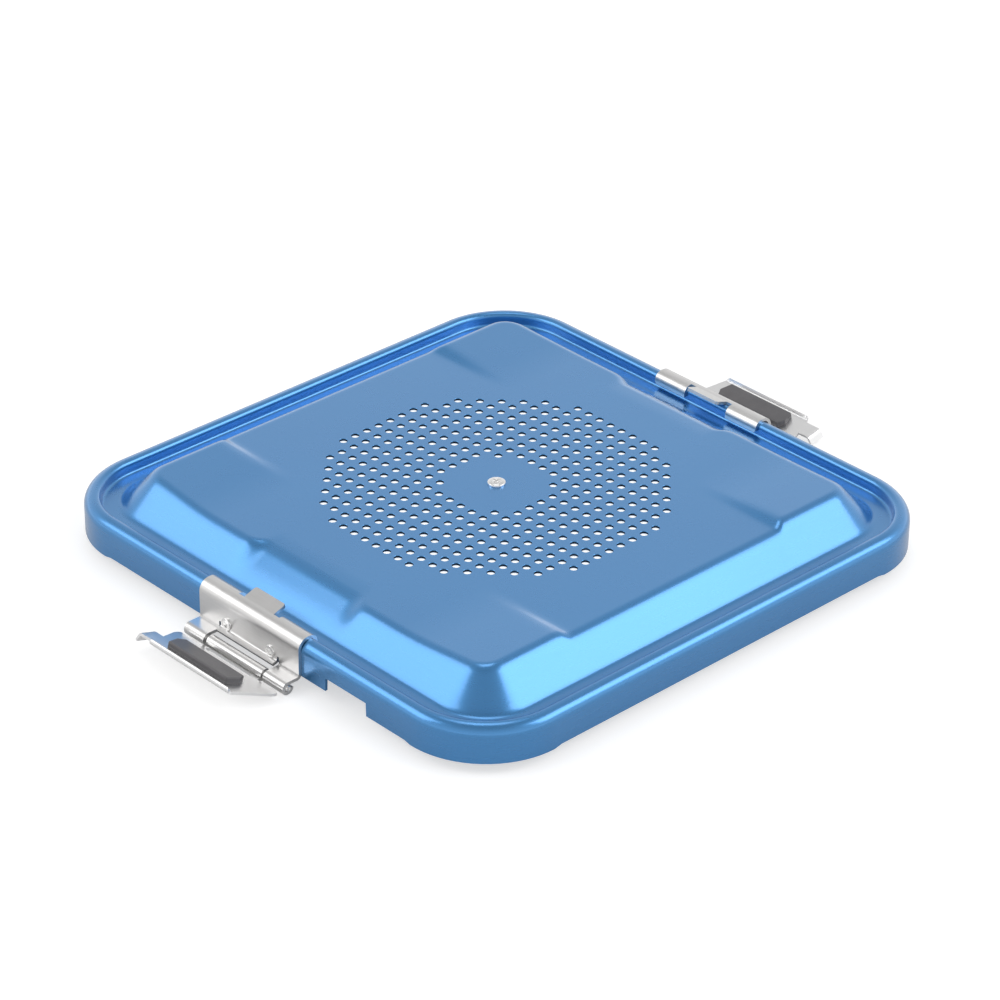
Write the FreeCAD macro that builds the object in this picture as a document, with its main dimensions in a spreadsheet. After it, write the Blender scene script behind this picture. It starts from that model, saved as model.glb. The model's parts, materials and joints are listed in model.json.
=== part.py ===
import FreeCAD, Part
import math
import os
import re
import Sketcher

# Lid of a sterilization container: a pressed aluminium pan with a perforated deck,
# a sealing ring under its rim, a filter held from below, and two draw latches.
# Millimetres. +Z up, the origin on the table under the middle of the lid, front latch at -Y.

doc = FreeCAD.newDocument("ContainerLid")

sizes = {
    # the pressed pan, seen from above
    "lid_width": 280,
    "lid_depth": 280,
    "corner_radius": 41,
    "pan_sheet": 1.2,
    # its rim in section, from the skirt inwards
    "bead_width": 7.5,
    "bead_outer_round": 4,
    "bead_inner_round": 3,
    "gutter_drop": 6,
    "gutter_bevel": 1.2,
    "slope_foot": 16.5,
    "slope_run": 13,
    "deck_rise": 7.2,
    "skirt_drop": 17.1,
    "skirt_relief": 0.8,
    "relief_half": 98,
    "notch_start": 47,
    "notch_end": 72,
    "notch_height": 7,
    # raised corners of the deck and the recess behind each latch
    "lobe_rise": 2.4,
    "lobe_fold": 68,
    "lobe_start": 64,
    "recess_half": 34,
    "recess_depth": 4.5,
    "recess_drop": 9,
    # perforation
    "hole_pitch": 7,
    "hole_width": 3.6,
    "field_radius": 78.5,
    "blank_radius": 22.5,
    # sealing ring in the rim channel
    "seal_height": 5,
    "seal_side_gap": 0.3,
    "seal_groove": 1.2,
    # latch bracket
    "latch_width": 64,
    "bracket_sheet": 1.5,
    "bracket_corner_gap": 0.3,
    "wrap_drop": 4,
    "wrap_start": 13,
    "wrap_inset": 4.5,
    "tab_half": 9.5,
    "tab_reach": 11,
    "tab_lift": 2.2,
    "guard_reach": 4.2,
    "guard_drop": 16.4,
    # hinge
    "pin_drop": 19,
    "pin_reach": 7.5,
    "pin_width": 3,
    "pin_clearance": 0.05,
    "pin_head": 0.6,
    "knuckle_start": 18.7,
    # lever
    "front_tilt": 18,
    "rear_tilt": 11,
    "lever_sheet": 1.2,
    "barrel_half": 18.3,
    "lever_shoulder": 4.7,
    "lever_straight": 8.5,
    "lever_reach": 27.3,
    "lever_root_half": 32,
    "lever_end_half": 25.5,
    "window_half": 14.2,
    "window_start": 3.2,
    "window_width": 3,
    "roll_gap": 0.4,
    "lip_height": 2.8,
    "ear_reach": 35,
    "ear_start": 16.5,
    "ear_end": 24.5,
    "ear_drop": 4.4,
    "ear_splay": 2.2,
    # grip pad
    "pad_start": 13.2,
    "pad_widest": 16.8,
    "pad_end": 23,
    "pad_start_half": 18.8,
    "pad_half": 20.8,
    "pad_end_half": 19,
    "pad_height": 3,
    "pad_chamfer": 0.8,
    "pad_rivet_spread": 12,
    "pad_rivet_width": 2.4,
    "pad_rivet_head": 4.4,
    "pad_rivet_crown": 0.8,
    "pad_rivet_depth": 1.8,
    # rivets that hold the brackets
    "rivet_spread": 14,
    "rivet_drop": 11.6,
    "rivet_width": 3,
    "rivet_head": 5.6,
    "rivet_crown": 1.1,
    "rivet_clearance": 0.1,
    "rivet_taper": 30,
    "rivet_tail": 0.8,
    "washer_width": 7,
    "washer_sheet": 0.8,
    # centre stud
    "screw_width": 4,
    "screw_head": 8,
    "screw_crown": 1.6,
    "screw_length": 6,
    "screw_slot": 1.1,
    "screw_slot_depth": 0.9,
    "stud_width": 8,
    "stud_length": 10,
    "stud_flange": 15,
    "stud_flange_height": 1.2,
    "stud_groove_drop": 5.8,
    "stud_groove_depth": 0.8,
    "stud_groove_height": 1.4,
    "stud_seal_sheet": 0.8,
    # filter and its retention plate
    "filter_width": 190,
    "filter_sheet": 0.4,
    "filter_gap": 0.3,
    "plate_sheet": 1,
    "plate_width": 194,
    "plate_dish": 2.5,
    "plate_rim": 6,
    "plate_slope": 4,
    "plate_slots": 12,
    "slot_start": 30,
    "slot_end": 80,
    "slot_start_width": 7,
    "slot_end_width": 14,
    "plate_seal_width": 3,
    "plate_seal_side": 1.2,
    # hub with the release button
    "hub_width": 30,
    "hub_height": 9,
    "hub_bore_gap": 0.1,
    "hub_flange": 44,
    "hub_flange_height": 1.5,
    "hub_rivet_circle": 18.5,
    "hub_rivet_width": 2.4,
    "hub_rivet_head": 4.4,
    "hub_rivet_crown": 0.8,
    "cap_sheet": 1.2,
    "room_height": 3.9,
    "button_width": 18,
    "button_floor": 1.5,
    "button_sleeve": 11,
    "button_proud": 2.2,
    "button_travel": 2,
    "button_flange": 21,
    "button_flange_height": 1.2,
    "button_gap": 0.3,
    "spring_wire": 0.7,
    "spring_width": 13,
    "spring_turns": 3,
    "clip_wire": 1,
    "clip_length": 16,
}

sheet = doc.addObject("Spreadsheet::Sheet", "Size")
for row, (alias, number) in enumerate(sizes.items(), start=1):
    sheet.set(f"A{row}", alias)
    sheet.set(f"B{row}", str(number))
    sheet.setAlias(f"B{row}", alias)
doc.recompute()


def bound(text):
    """Expression text with every size name pointing into the sheet."""
    return re.sub(r"[a-z]\w+", lambda word: ("Size." if word.group() in sizes else "") + word.group(), text)


def value(text):
    """Present number of an expression on the sizes."""
    return float(sheet.evalExpression(bound(text)))


# Heights and places that several pieces share, as expressions on the sizes
bore_radius = "(pin_width / 2 + pin_clearance)"
knuckle_radius = f"({bore_radius} + bracket_sheet)"
barrel_radius = f"({bore_radius} + lever_sheet)"
pin_z = knuckle_radius
bead_z = f"({pin_z} + pin_drop)"
gutter_z = f"({bead_z} - gutter_drop)"
deck_z = f"({bead_z} + deck_rise)"
under_z = f"({deck_z} - pan_sheet)"
skirt_y = "(-lid_depth / 2)"
pin_y = f"({skirt_y} - pin_reach)"
rivet_z = f"({bead_z} - rivet_drop)"
slope_taper = "-atan(slope_run / (gutter_drop + deck_rise))"
knuckle_top = f"({pin_z} + {knuckle_radius})"
plate_top = f"({under_z} - filter_gap - filter_sheet)"
web_top = f"({plate_top} - plate_dish)"
hub_top = f"({web_top} - plate_sheet)"
hub_bottom = f"({hub_top} - hub_height)"
clip_z = f"({under_z} - stud_seal_sheet - stud_groove_drop)"
turned_round = FreeCAD.Placement(FreeCAD.Vector(0, 0, 0), FreeCAD.Rotation(FreeCAD.Vector(0, 0, 1), 180))


# Helpers for bodies and sketches

def new_body(label):
    body = doc.addObject("PartDesign::Body", label)
    body.Label = label
    return body


def drawing_on(body, role, height=None):
    """Sketch on one of the body's origin planes, lifted off it by an expression."""
    plane = next(item for item in body.Origin.OriginFeatures if item.Role == role)
    drawing = body.newObject("Sketcher::SketchObject", body.Name + "_sketch")
    drawing.AttachmentSupport = (plane, "")
    drawing.MapMode = "FlatFace"
    if height is not None:
        drawing.setExpression("AttachmentOffset.Base.z", bound(height))
    return drawing


def pin_down(drawing, edge, point, x, y):
    """Hold a point of a sketch at two expressions."""
    for kind, text in (("DistanceX", x), ("DistanceY", y)):
        index = drawing.addConstraint(Sketcher.Constraint(kind, -1, 1, edge, point, value(text)))
        drawing.setExpression(f"Constraints[{index}]", bound(text))


def loop(drawing, *steps, closed=True):
    """Outline through steps. A step is (x, y), or (x, y, radius) where an arc of at most a quarter turn
    leads to the next step: a plain radius turns left and one with a leading minus sign turns right."""
    places = [FreeCAD.Vector(value(step[0]), value(step[1]), 0) for step in steps]
    ends = []
    for step, start, end in zip(steps, places, places[1:] + (places[:1] if closed else [])):
        if len(step) == 2:
            edge = drawing.addGeometry(Part.LineSegment(start, end))
            ends.append((edge, 1, 2))
            continue
        right = step[2].startswith("-")
        text = step[2].lstrip("-")
        radius = value(text)
        chord = end - start
        normal = FreeCAD.Vector(-chord.y, chord.x, 0).normalize()
        rise = math.sqrt(max(radius ** 2 - chord.Length ** 2 / 4, 0))
        centre = (start + end) * 0.5 + normal * (-rise if right else rise)
        low, high = (end, start) if right else (start, end)
        angles = [math.atan2(spot.y - centre.y, spot.x - centre.x) for spot in (low, high)]
        whole = Part.Circle(centre, FreeCAD.Vector(0, 0, 1), radius)
        edge = drawing.addGeometry(Part.ArcOfCircle(whole, *angles))
        ends.append((edge, 2, 1) if right else (edge, 1, 2))
        index = drawing.addConstraint(Sketcher.Constraint("Radius", edge, radius))
        drawing.setExpression(f"Constraints[{index}]", bound(text))
    for (edge, _, tail), (following, head, _) in zip(ends, ends[1:] + (ends[:1] if closed else [])):
        drawing.addConstraint(Sketcher.Constraint("Coincident", edge, tail, following, head))
    for step, (edge, head, _) in zip(steps, ends):
        pin_down(drawing, edge, head, step[0], step[1])
    if not closed:
        edge, _, tail = ends[-1]
        pin_down(drawing, edge, tail, steps[-1][0], steps[-1][1])


def box_loop(drawing, left, bottom, right, top):
    loop(drawing, (left, bottom), (right, bottom), (right, top), (left, top))


def round_loop(drawing, half_x, half_y, radius):
    """Rectangle with round corners about the sketch's origin, from the middle of its lower side."""
    left, right = f"-{half_x}", half_x
    loop(drawing,
         ("0", f"-{half_y}"), (f"{right} - {radius}", f"-{half_y}", radius),
         (right, f"-{half_y} + {radius}"), (right, f"{half_y} - {radius}", radius),
         (f"{right} - {radius}", half_y), (f"{left} + {radius}", half_y, radius),
         (left, f"{half_y} - {radius}"), (left, f"-{half_y} + {radius}", radius),
         (f"{left} + {radius}", f"-{half_y}"))


def circle(drawing, x, y, width):
    edge = drawing.addGeometry(Part.Circle(FreeCAD.Vector(value(x), value(y), 0),
                                           FreeCAD.Vector(0, 0, 1), value(width) / 2))
    index = drawing.addConstraint(Sketcher.Constraint("Diameter", edge, value(width)))
    drawing.setExpression(f"Constraints[{index}]", bound(width))
    pin_down(drawing, edge, 3, x, y)


def many_sided(drawing, x, y, width):
    """Twelve-sided outline in place of a circle, for small fasteners that repeat."""
    angles = range(0, 360, 30)
    loop(drawing, *[(f"{x} + {width} / 2 * cos({angle})", f"{y} + {width} / 2 * sin({angle})") for angle in angles])


def grown(body, kind, drawing, length, name, both_ways=False, back=False):
    """Pad or Pocket of a sketch by an expression."""
    feature = body.newObject("PartDesign::" + kind, body.Name + "_" + name)
    feature.Profile = drawing
    feature.setExpression("Length", bound(length))
    feature.SideType = "Symmetric" if both_ways else "One side"
    feature.Reversed = back
    body.Tip = feature
    return feature


def turned(body, drawing, name, kind="Revolution"):
    """Revolve a sketch, drawn as radius against height, about the body's upright axis."""
    feature = body.newObject("PartDesign::" + kind, body.Name + "_" + name)
    feature.Profile = drawing
    feature.ReferenceAxis = (drawing, ["V_Axis"])
    feature.Angle = 360
    body.Tip = feature
    return feature


def spun(label, *steps):
    """A turned body from one outline of (radius, height) steps."""
    body = new_body(label)
    drawing = drawing_on(body, "XZ_Plane")
    loop(drawing, *steps)
    turned(body, drawing, "turning")
    return body


def combined(kind, label, base, tool):
    result = doc.addObject("Part::" + kind, label)
    result.Label = label
    result.Base = base
    result.Tool = tool
    return result


def group(label, members):
    """Identical fasteners as one node of separate solids."""
    result = doc.addObject("Part::Compound", label)
    result.Label = label
    result.Links = members
    return result


def cut_volume(feature, before):
    """Stop if a cut has missed the solid."""
    doc.recompute()
    if feature.Shape.Volume >= before - 1e-6:
        raise ValueError(feature.Name + " cuts nothing")


nodes = []


def keep(*pieces):
    nodes.extend(pieces)
    return pieces[0]


# The pressed pan: rim swept round the lid, and a deck shell standing in it

def pan_rim():
    """Skirt, bead and gutter as one pressed section carried round the lid. The hidden inside of the bead
    follows its rounds in straight facets, an even sheet away."""
    body = new_body("rim_section")
    path = drawing_on(body, "XY_Plane", bead_z)
    round_loop(path, "lid_width / 2", "lid_depth / 2", "corner_radius")
    section = drawing_on(body, "YZ_Plane")

    def at(inset, drop):
        return f"{skirt_y} + {inset}", f"{bead_z} - ({drop})"

    inner_cut = "(1 - cos(45)) * (bead_inner_round - pan_sheet)"
    outer_cut = "(1 - cos(45)) * (bead_outer_round - pan_sheet)"
    loop(section,
         at("0", "skirt_drop"), (*at("0", "bead_outer_round"), "-bead_outer_round"),
         at("bead_outer_round", "0"), (*at("bead_width - bead_inner_round", "0"), "-bead_inner_round"),
         at("bead_width", "bead_inner_round"), at("bead_width", "gutter_drop - gutter_bevel"),
         at("bead_width + gutter_bevel", "gutter_drop"), at("slope_foot", "gutter_drop"),
         at("slope_foot", "gutter_drop + pan_sheet"),
         at("bead_width + gutter_bevel - pan_sheet / 2", "gutter_drop + pan_sheet"),
         at("bead_width - pan_sheet", "gutter_drop - gutter_bevel + pan_sheet / 2"),
         at("bead_width - pan_sheet", "bead_inner_round"),
         at(f"bead_width - pan_sheet - {inner_cut}", f"pan_sheet + {inner_cut}"),
         at("bead_width - bead_inner_round", "pan_sheet"), at("bead_outer_round", "pan_sheet"),
         at(f"pan_sheet + {outer_cut}", f"pan_sheet + {outer_cut}"),
         at("pan_sheet", "bead_outer_round"), at("pan_sheet", "skirt_drop"))
    sweep = body.newObject("PartDesign::AdditivePipe", "rim_sweep")
    sweep.Profile = section
    sweep.Spine = path
    body.Tip = sweep
    return body


def deck_form(label, drop, wall):
    """Solid form of the deck: slopes, flat top, four lobes that rise towards the outer corners, and a
    recess behind each latch. The inner form is the same press shape, lower by the sheet and with its
    steps moved over by the sheet, so that the two leave an even shell."""
    body = new_body(label)
    foot_z = f"({gutter_z} - {drop})"
    top_z = f"({deck_z} - {drop})"
    half_x = "(lid_width / 2 - slope_foot)"
    half_y = "(lid_depth / 2 - slope_foot)"
    foot_radius = "(corner_radius - slope_foot)"
    block = drawing_on(body, "XY_Plane", foot_z)
    round_loop(block, half_x, half_y, foot_radius)
    rise = grown(body, "Pad", block, "gutter_drop + deck_rise + lobe_rise", "slopes")
    rise.setExpression("TaperAngle", bound(slope_taper))
    doc.recompute()
    before = rise.Shape.Volume
    edge = "(lid_width / 2 - slope_foot - slope_run)"
    clear = f"({top_z} + 2 * lobe_rise)"
    outside = "(lid_width / 2)"
    lobe_slope = f"(lobe_rise / ({edge} - lobe_fold))"
    outside_z = f"({top_z} + {lobe_slope} * ({outside} - lobe_fold))"
    fold = drawing_on(body, "XZ_Plane")
    loop(fold,
         (f"-{outside}", outside_z), ("-lobe_fold", top_z), ("lobe_fold", top_z),
         (outside, outside_z), (outside, f"{clear} + lid_width"), (f"-{outside}", f"{clear} + lid_width"))
    crown = grown(body, "Pocket", fold, "lid_depth", "crown", both_ways=True)
    cut_volume(crown, before)
    before = crown.Shape.Volume
    middle = drawing_on(body, "XZ_Plane")
    box_loop(middle, f"-{outside}", top_z, outside, clear)
    step = grown(body, "Pocket", middle, f"2 * (lobe_start + {wall})", "middle", both_ways=True)
    cut_volume(step, before)
    before = step.Shape.Volume
    for side, name in (("-", "front"), ("", "rear")):
        recess = drawing_on(body, "YZ_Plane")
        low_y = f"{side}({half_y} - slope_run * (1 - recess_drop / (gutter_drop + deck_rise)))"
        low_z = f"({top_z} - recess_drop)"
        top_y = f"{side}({half_y} - slope_run - recess_depth)"
        loop(recess, (low_y, low_z), (f"{side}(lid_depth / 2)", low_z),
             (f"{side}(lid_depth / 2)", clear),
             (f"{side}({half_y} - slope_run - recess_depth - lobe_rise)", clear), (top_y, top_z))
        hollow = grown(body, "Pocket", recess, f"2 * (recess_half + {wall})", name + "_recess", both_ways=True)
        cut_volume(hollow, before)
        before = hollow.Shape.Volume
    return body


def perforation():
    """Punches for the square field of holes between two circles. Six sides each keep the facets few."""
    pitch = value("hole_pitch")
    reach = int(value("field_radius") / pitch) + 1
    corners = [math.radians(60 * turn) for turn in range(7)]
    radius = value("hole_width") / 2
    punch = Part.Face(Part.makePolygon([FreeCAD.Vector(radius * math.cos(angle), radius * math.sin(angle), 0)
                                        for angle in corners]))
    punch = punch.extrude(FreeCAD.Vector(0, 0, 3 * value("pan_sheet")))
    places = [(index + 0.5) * pitch for index in range(-reach, reach)]
    punches = []
    for x in places:
        for y in places:
            if value("blank_radius") < math.hypot(x, y) < value("field_radius"):
                hole = punch.copy()
                hole.translate(FreeCAD.Vector(x, y, 0))
                punches.append(hole)
    field = doc.addObject("Part::Feature", "perforation")
    field.Shape = Part.makeCompound(punches)
    field.Placement.Base = FreeCAD.Vector(0, 0, value(f"{deck_z} - 2 * pan_sheet"))
    return field


def pan_cutters():
    """Skirt reliefs, the two notches, the screw hole and the bracket rivets' holes, as one tool."""
    body = new_body("pan_cuts")
    skirt_z = f"({bead_z} - skirt_drop)"
    beyond = "(lid_width + lid_depth)"
    across = drawing_on(body, "XY_Plane", f"{skirt_z} - skirt_relief")
    box_loop(across, f"-{beyond}", "-relief_half", beyond, "relief_half")
    grown(body, "Pad", across, "2 * skirt_relief", "relief_across")
    along = drawing_on(body, "XY_Plane", f"{skirt_z} - skirt_relief")
    box_loop(along, "-relief_half", f"-{beyond}", "relief_half", beyond)
    grown(body, "Pad", along, "2 * skirt_relief", "relief_along")
    notches = drawing_on(body, "XY_Plane", skirt_z)
    box_loop(notches, "notch_start", f"{skirt_y} - pan_sheet", "notch_end", f"{skirt_y} + 2 * pan_sheet")
    box_loop(notches, "-notch_end", f"-{skirt_y} - 2 * pan_sheet", "-notch_start", f"-{skirt_y} + pan_sheet")
    grown(body, "Pad", notches, "notch_height", "notches")
    rivets = drawing_on(body, "XZ_Plane")
    circle(rivets, "rivet_spread", rivet_z, "rivet_width + 2 * rivet_clearance")
    circle(rivets, "-rivet_spread", rivet_z, "rivet_width + 2 * rivet_clearance")
    grown(body, "Pad", rivets, "2 * lid_depth", "rivet_holes", both_ways=True)
    centre = drawing_on(body, "XY_Plane", skirt_z)
    circle(centre, "0", "0", "screw_width + 2 * rivet_clearance")
    grown(body, "Pad", centre, "skirt_drop + 2 * deck_rise", "screw_hole")
    return body


def lid_pan():
    rim = pan_rim()
    outer = deck_form("deck_outer", "0", "0")
    band = drawing_on(outer, "XY_Plane", gutter_z)
    round_loop(band, "(lid_width / 2 - slope_foot)", "(lid_depth / 2 - slope_foot)",
               "(corner_radius - slope_foot)")
    grown(outer, "Pad", band, "pan_sheet", "band", back=True)
    inner = deck_form("deck_inner", "pan_sheet", "pan_sheet")
    shell = combined("Cut", "deck_shell", outer, inner)
    joined = combined("Fuse", "pan_blank", rim, shell)
    trimmed = combined("Cut", "pan_trimmed", joined, pan_cutters())
    pan = combined("Cut", "lid_pan", trimmed, perforation())
    return pan


def rim_seal():
    """Silicone ring in the channel under the bead, with a groove where the container's edge bites."""
    body = new_body("rim_gasket")
    path = drawing_on(body, "XY_Plane", bead_z)
    round_loop(path, "lid_width / 2", "lid_depth / 2", "corner_radius")
    section = drawing_on(body, "YZ_Plane")
    outer = f"{skirt_y} + pan_sheet + seal_side_gap"
    inner = f"{skirt_y} + bead_width - pan_sheet - seal_side_gap"
    middle = f"{skirt_y} + bead_width / 2"
    top = f"{bead_z} - bead_outer_round + pan_sheet / 2"
    bottom = f"{bead_z} - pan_sheet - seal_height"
    crown = f"{bead_z} - pan_sheet"
    loop(section, (outer, bottom), (outer, top), (f"{skirt_y} + bead_outer_round", crown),
         (f"{skirt_y} + bead_width - bead_inner_round", crown), (inner, top), (inner, bottom),
         (f"{middle} + seal_groove / 2", bottom), (middle, f"{bottom} + seal_groove"),
         (f"{middle} - seal_groove / 2", bottom))
    sweep = body.newObject("PartDesign::AdditivePipe", "seal_sweep")
    sweep.Profile = section
    sweep.Spine = path
    body.Tip = sweep
    return body


# Latches, drawn at the front

def bracket(side):
    """Sheet that wraps the bead, with a centre tab inside and two rolled knuckles below."""
    body = new_body(side + "_bracket")
    outer = "(bead_outer_round - bracket_corner_gap)"
    inner = "(bead_inner_round - bracket_corner_gap)"
    face_end = f"({knuckle_top} - bracket_sheet)"
    inside = f"({skirt_y} + bead_width)"
    wrap = drawing_on(body, "YZ_Plane")
    loop(wrap,
         (f"{skirt_y} - bracket_sheet", face_end),
         (f"{skirt_y} - bracket_sheet", f"{bead_z} - {outer}", f"-{outer} + bracket_sheet"),
         (f"{skirt_y} + {outer}", f"{bead_z} + bracket_sheet"),
         (f"{inside} - {inner}", f"{bead_z} + bracket_sheet", f"-{inner} + bracket_sheet"),
         (f"{inside} + bracket_sheet", f"{bead_z} - {inner}"),
         (f"{inside} + bracket_sheet", f"{bead_z} - wrap_drop"),
         (inside, f"{bead_z} - wrap_drop"),
         (inside, f"{bead_z} - {inner}", inner),
         (f"{inside} - {inner}", bead_z),
         (f"{skirt_y} + {outer}", bead_z, outer),
         (skirt_y, f"{bead_z} - {outer}"), (skirt_y, face_end))
    grown(body, "Pad", wrap, "latch_width", "wrap", both_ways=True)
    gap = drawing_on(body, "XY_Plane", f"{bead_z} - wrap_drop")
    box_loop(gap, "-wrap_start", f"{skirt_y} + wrap_inset", "wrap_start", f"{inside} + 2 * bracket_sheet")
    grown(body, "Pocket", gap, "2 * wrap_drop", "notches", back=True)
    tab = drawing_on(body, "YZ_Plane")
    tab_root = f"{skirt_y} + wrap_inset - bracket_sheet"
    loop(tab, (tab_root, bead_z), (f"{skirt_y} + wrap_inset", bead_z),
         (f"{skirt_y} + tab_reach", f"{bead_z} + tab_lift"),
         (f"{skirt_y} + tab_reach", f"{bead_z} + tab_lift + bracket_sheet"),
         (tab_root, f"{bead_z} + bracket_sheet"))
    grown(body, "Pad", tab, "2 * tab_half", "tab", both_ways=True)
    knuckle = drawing_on(body, "YZ_Plane")
    roll, hollow = knuckle_radius, bore_radius
    loop(knuckle, (skirt_y, face_end), (pin_y, face_end, hollow), (f"{pin_y} - {hollow}", pin_z, hollow),
         (pin_y, f"{pin_z} - {hollow}", hollow), (f"{pin_y} + {hollow}", pin_z),
         (f"{pin_y} + {roll}", pin_z, f"-{roll}"), (pin_y, f"{pin_z} - {roll}", f"-{roll}"),
         (f"{pin_y} - {roll}", pin_z, f"-{roll}"), (pin_y, knuckle_top), (skirt_y, knuckle_top))
    grown(body, "Pad", knuckle, "latch_width", "knuckles", both_ways=True)
    middle = drawing_on(body, "XY_Plane")
    box_loop(middle, "-knuckle_start", f"{pin_y} - 2 * {roll}", "knuckle_start", f"{skirt_y} + bracket_sheet")
    grown(body, "Pocket", middle, knuckle_top, "middle", back=True)
    guard = drawing_on(body, "YZ_Plane")
    guard_z = f"({bead_z} - guard_drop)"
    loop(guard, (skirt_y, f"{knuckle_top} + bracket_sheet"), (skirt_y, knuckle_top),
         (f"{skirt_y} - guard_reach", guard_z),
         (f"{skirt_y} - guard_reach", f"{guard_z} + bracket_sheet"),
         (f"{skirt_y} - bracket_sheet", f"{knuckle_top} + bracket_sheet"))
    grown(body, "Pad", guard, "2 * knuckle_start", "guard", both_ways=True)
    rivets = drawing_on(body, "XZ_Plane")
    circle(rivets, "rivet_spread", rivet_z, "rivet_width + 2 * rivet_clearance")
    circle(rivets, "-rivet_spread", rivet_z, "rivet_width + 2 * rivet_clearance")
    grown(body, "Pocket", rivets, "2 * lid_depth", "rivet_holes", both_ways=True)
    return body


def lever(side):
    """Sheet lever about its hinge axis: rolled barrel, window, tapering plate, turned-up lip and an ear
    for a seal. Drawn level; its placement gives the tilt."""
    body = new_body(side + "_lever")
    low = f"(-{barrel_radius})"
    plate = drawing_on(body, "XY_Plane", low)
    loop(plate,
         ("-barrel_half", "0"), ("-barrel_half", "-lever_shoulder"),
         ("-lever_root_half", "-lever_shoulder"), ("-lever_root_half", "-lever_straight"),
         ("-lever_end_half", "-lever_reach"), ("lever_end_half", "-lever_reach"),
         ("lever_root_half", "-lever_straight"), ("lever_root_half", "-lever_shoulder"),
         ("barrel_half", "-lever_shoulder"), ("barrel_half", "0"))
    grown(body, "Pad", plate, "lever_sheet", "plate")
    barrel = drawing_on(body, "YZ_Plane")
    circle(barrel, "0", "0", f"2 * {barrel_radius}")
    grown(body, "Pad", barrel, "2 * barrel_half", "barrel", both_ways=True)
    bore = drawing_on(body, "YZ_Plane")
    circle(bore, "0", "0", f"2 * {bore_radius}")
    grown(body, "Pocket", bore, "2 * latch_width", "bore", both_ways=True)
    roll_end = drawing_on(body, "YZ_Plane")
    box_loop(roll_end, f"-{barrel_radius}", f"{low} + lever_sheet", "0", f"{low} + lever_sheet + roll_gap")
    grown(body, "Pocket", roll_end, "2 * latch_width", "roll_end", both_ways=True)
    window = drawing_on(body, "XY_Plane", f"2 * {low}")
    window_mid = "(-window_start - window_width / 2)"
    box_loop(window, "-window_half", f"{window_mid} - window_width / 2",
             "window_half", f"{window_mid} + window_width / 2")
    grown(body, "Pocket", window, f"{barrel_radius} + lever_sheet", "window", back=True)
    lip = drawing_on(body, "YZ_Plane")
    top = f"{low} + lip_height"
    loop(lip, ("-lever_reach", low), ("-lever_reach + lever_sheet", low),
         ("-lever_reach + lever_sheet", f"{top} - lever_sheet / 2", "lever_sheet / 2"),
         ("-lever_reach", f"{top} - lever_sheet / 2"))
    grown(body, "Pad", lip, "2 * lever_end_half", "lip", both_ways=True)
    ear = drawing_on(body, "XY_Plane", low)
    box_loop(ear, "-ear_reach", "-ear_end", "-lever_end_half", "-ear_start")
    grown(body, "Pad", ear, "lever_sheet", "ear")
    flap = drawing_on(body, "XZ_Plane", "ear_start")
    flap_end = f"{low} + lever_sheet - ear_drop"
    loop(flap, ("-ear_reach - ear_splay", flap_end), ("-ear_reach - ear_splay + lever_sheet", flap_end),
         ("-ear_reach + lever_sheet", f"{low} + lever_sheet"), ("-ear_reach", f"{low} + lever_sheet"))
    grown(body, "Pad", flap, "ear_end - ear_start", "flap")
    rivets = drawing_on(body, "XY_Plane", f"2 * {low}")
    rivet_y = "(-(pad_start + pad_end) / 2)"
    circle(rivets, "pad_rivet_spread", rivet_y, "pad_rivet_width + 2 * rivet_clearance")
    circle(rivets, "-pad_rivet_spread", rivet_y, "pad_rivet_width + 2 * rivet_clearance")
    grown(body, "Pocket", rivets, f"2 * {barrel_radius}", "rivet_holes", back=True)
    return body


def grip_pad(side):
    """Hexagonal moulded pad on the lever, bored from below for its two rivets."""
    body = new_body(side + "_grip_pad")
    seat = f"(-{barrel_radius} + lever_sheet)"
    outline = drawing_on(body, "XY_Plane", seat)
    loop(outline, ("-pad_start_half", "-pad_start"), ("-pad_half", "-pad_widest"), ("-pad_end_half", "-pad_end"),
         ("pad_end_half", "-pad_end"), ("pad_half", "-pad_widest"), ("pad_start_half", "-pad_start"))
    grown(body, "Pad", outline, "pad_height", "block")
    doc.recompute()
    block = body.Tip
    rim = [f"Edge{index}" for index, edge in enumerate(block.Shape.Edges, start=1)
           if abs(edge.BoundBox.ZMin - block.Shape.BoundBox.ZMax) < 1e-4]
    bevel = body.newObject("PartDesign::Chamfer", body.Name + "_bevel")
    bevel.Base = (block, rim)
    bevel.setExpression("Size", bound("pad_chamfer"))
    body.Tip = bevel
    holes = drawing_on(body, "XY_Plane", seat)
    rivet_y = "(-(pad_start + pad_end) / 2)"
    circle(holes, "pad_rivet_spread", rivet_y, "pad_rivet_width + 2 * rivet_clearance")
    circle(holes, "-pad_rivet_spread", rivet_y, "pad_rivet_width + 2 * rivet_clearance")
    grown(body, "Pocket", holes, "pad_rivet_depth + rivet_clearance", "rivet_holes", back=True)
    return body


def flat_rivet(label, width, head, crown, length, tail=False):
    """Rivet along its own upright axis: a tapered head above zero, the shank below it, and a closed tail
    where it goes right through. Twelve sides keep the many of them light."""
    body = new_body(label)
    shank = drawing_on(body, "XY_Plane", f"-({length})")
    many_sided(shank, "0", "0", width)
    grown(body, "Pad", shank, length, "shank")
    outline = drawing_on(body, "XY_Plane")
    many_sided(outline, "0", "0", head)
    crowned = grown(body, "Pad", outline, crown, "head")
    crowned.setExpression("TaperAngle", bound("-rivet_taper"))
    if tail:
        end = drawing_on(body, "XY_Plane", f"-({length})")
        many_sided(end, "0", "0", head)
        closed = grown(body, "Pad", end, "rivet_tail", "tail", back=True)
        closed.setExpression("TaperAngle", bound("-rivet_taper"))
    return body


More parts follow.
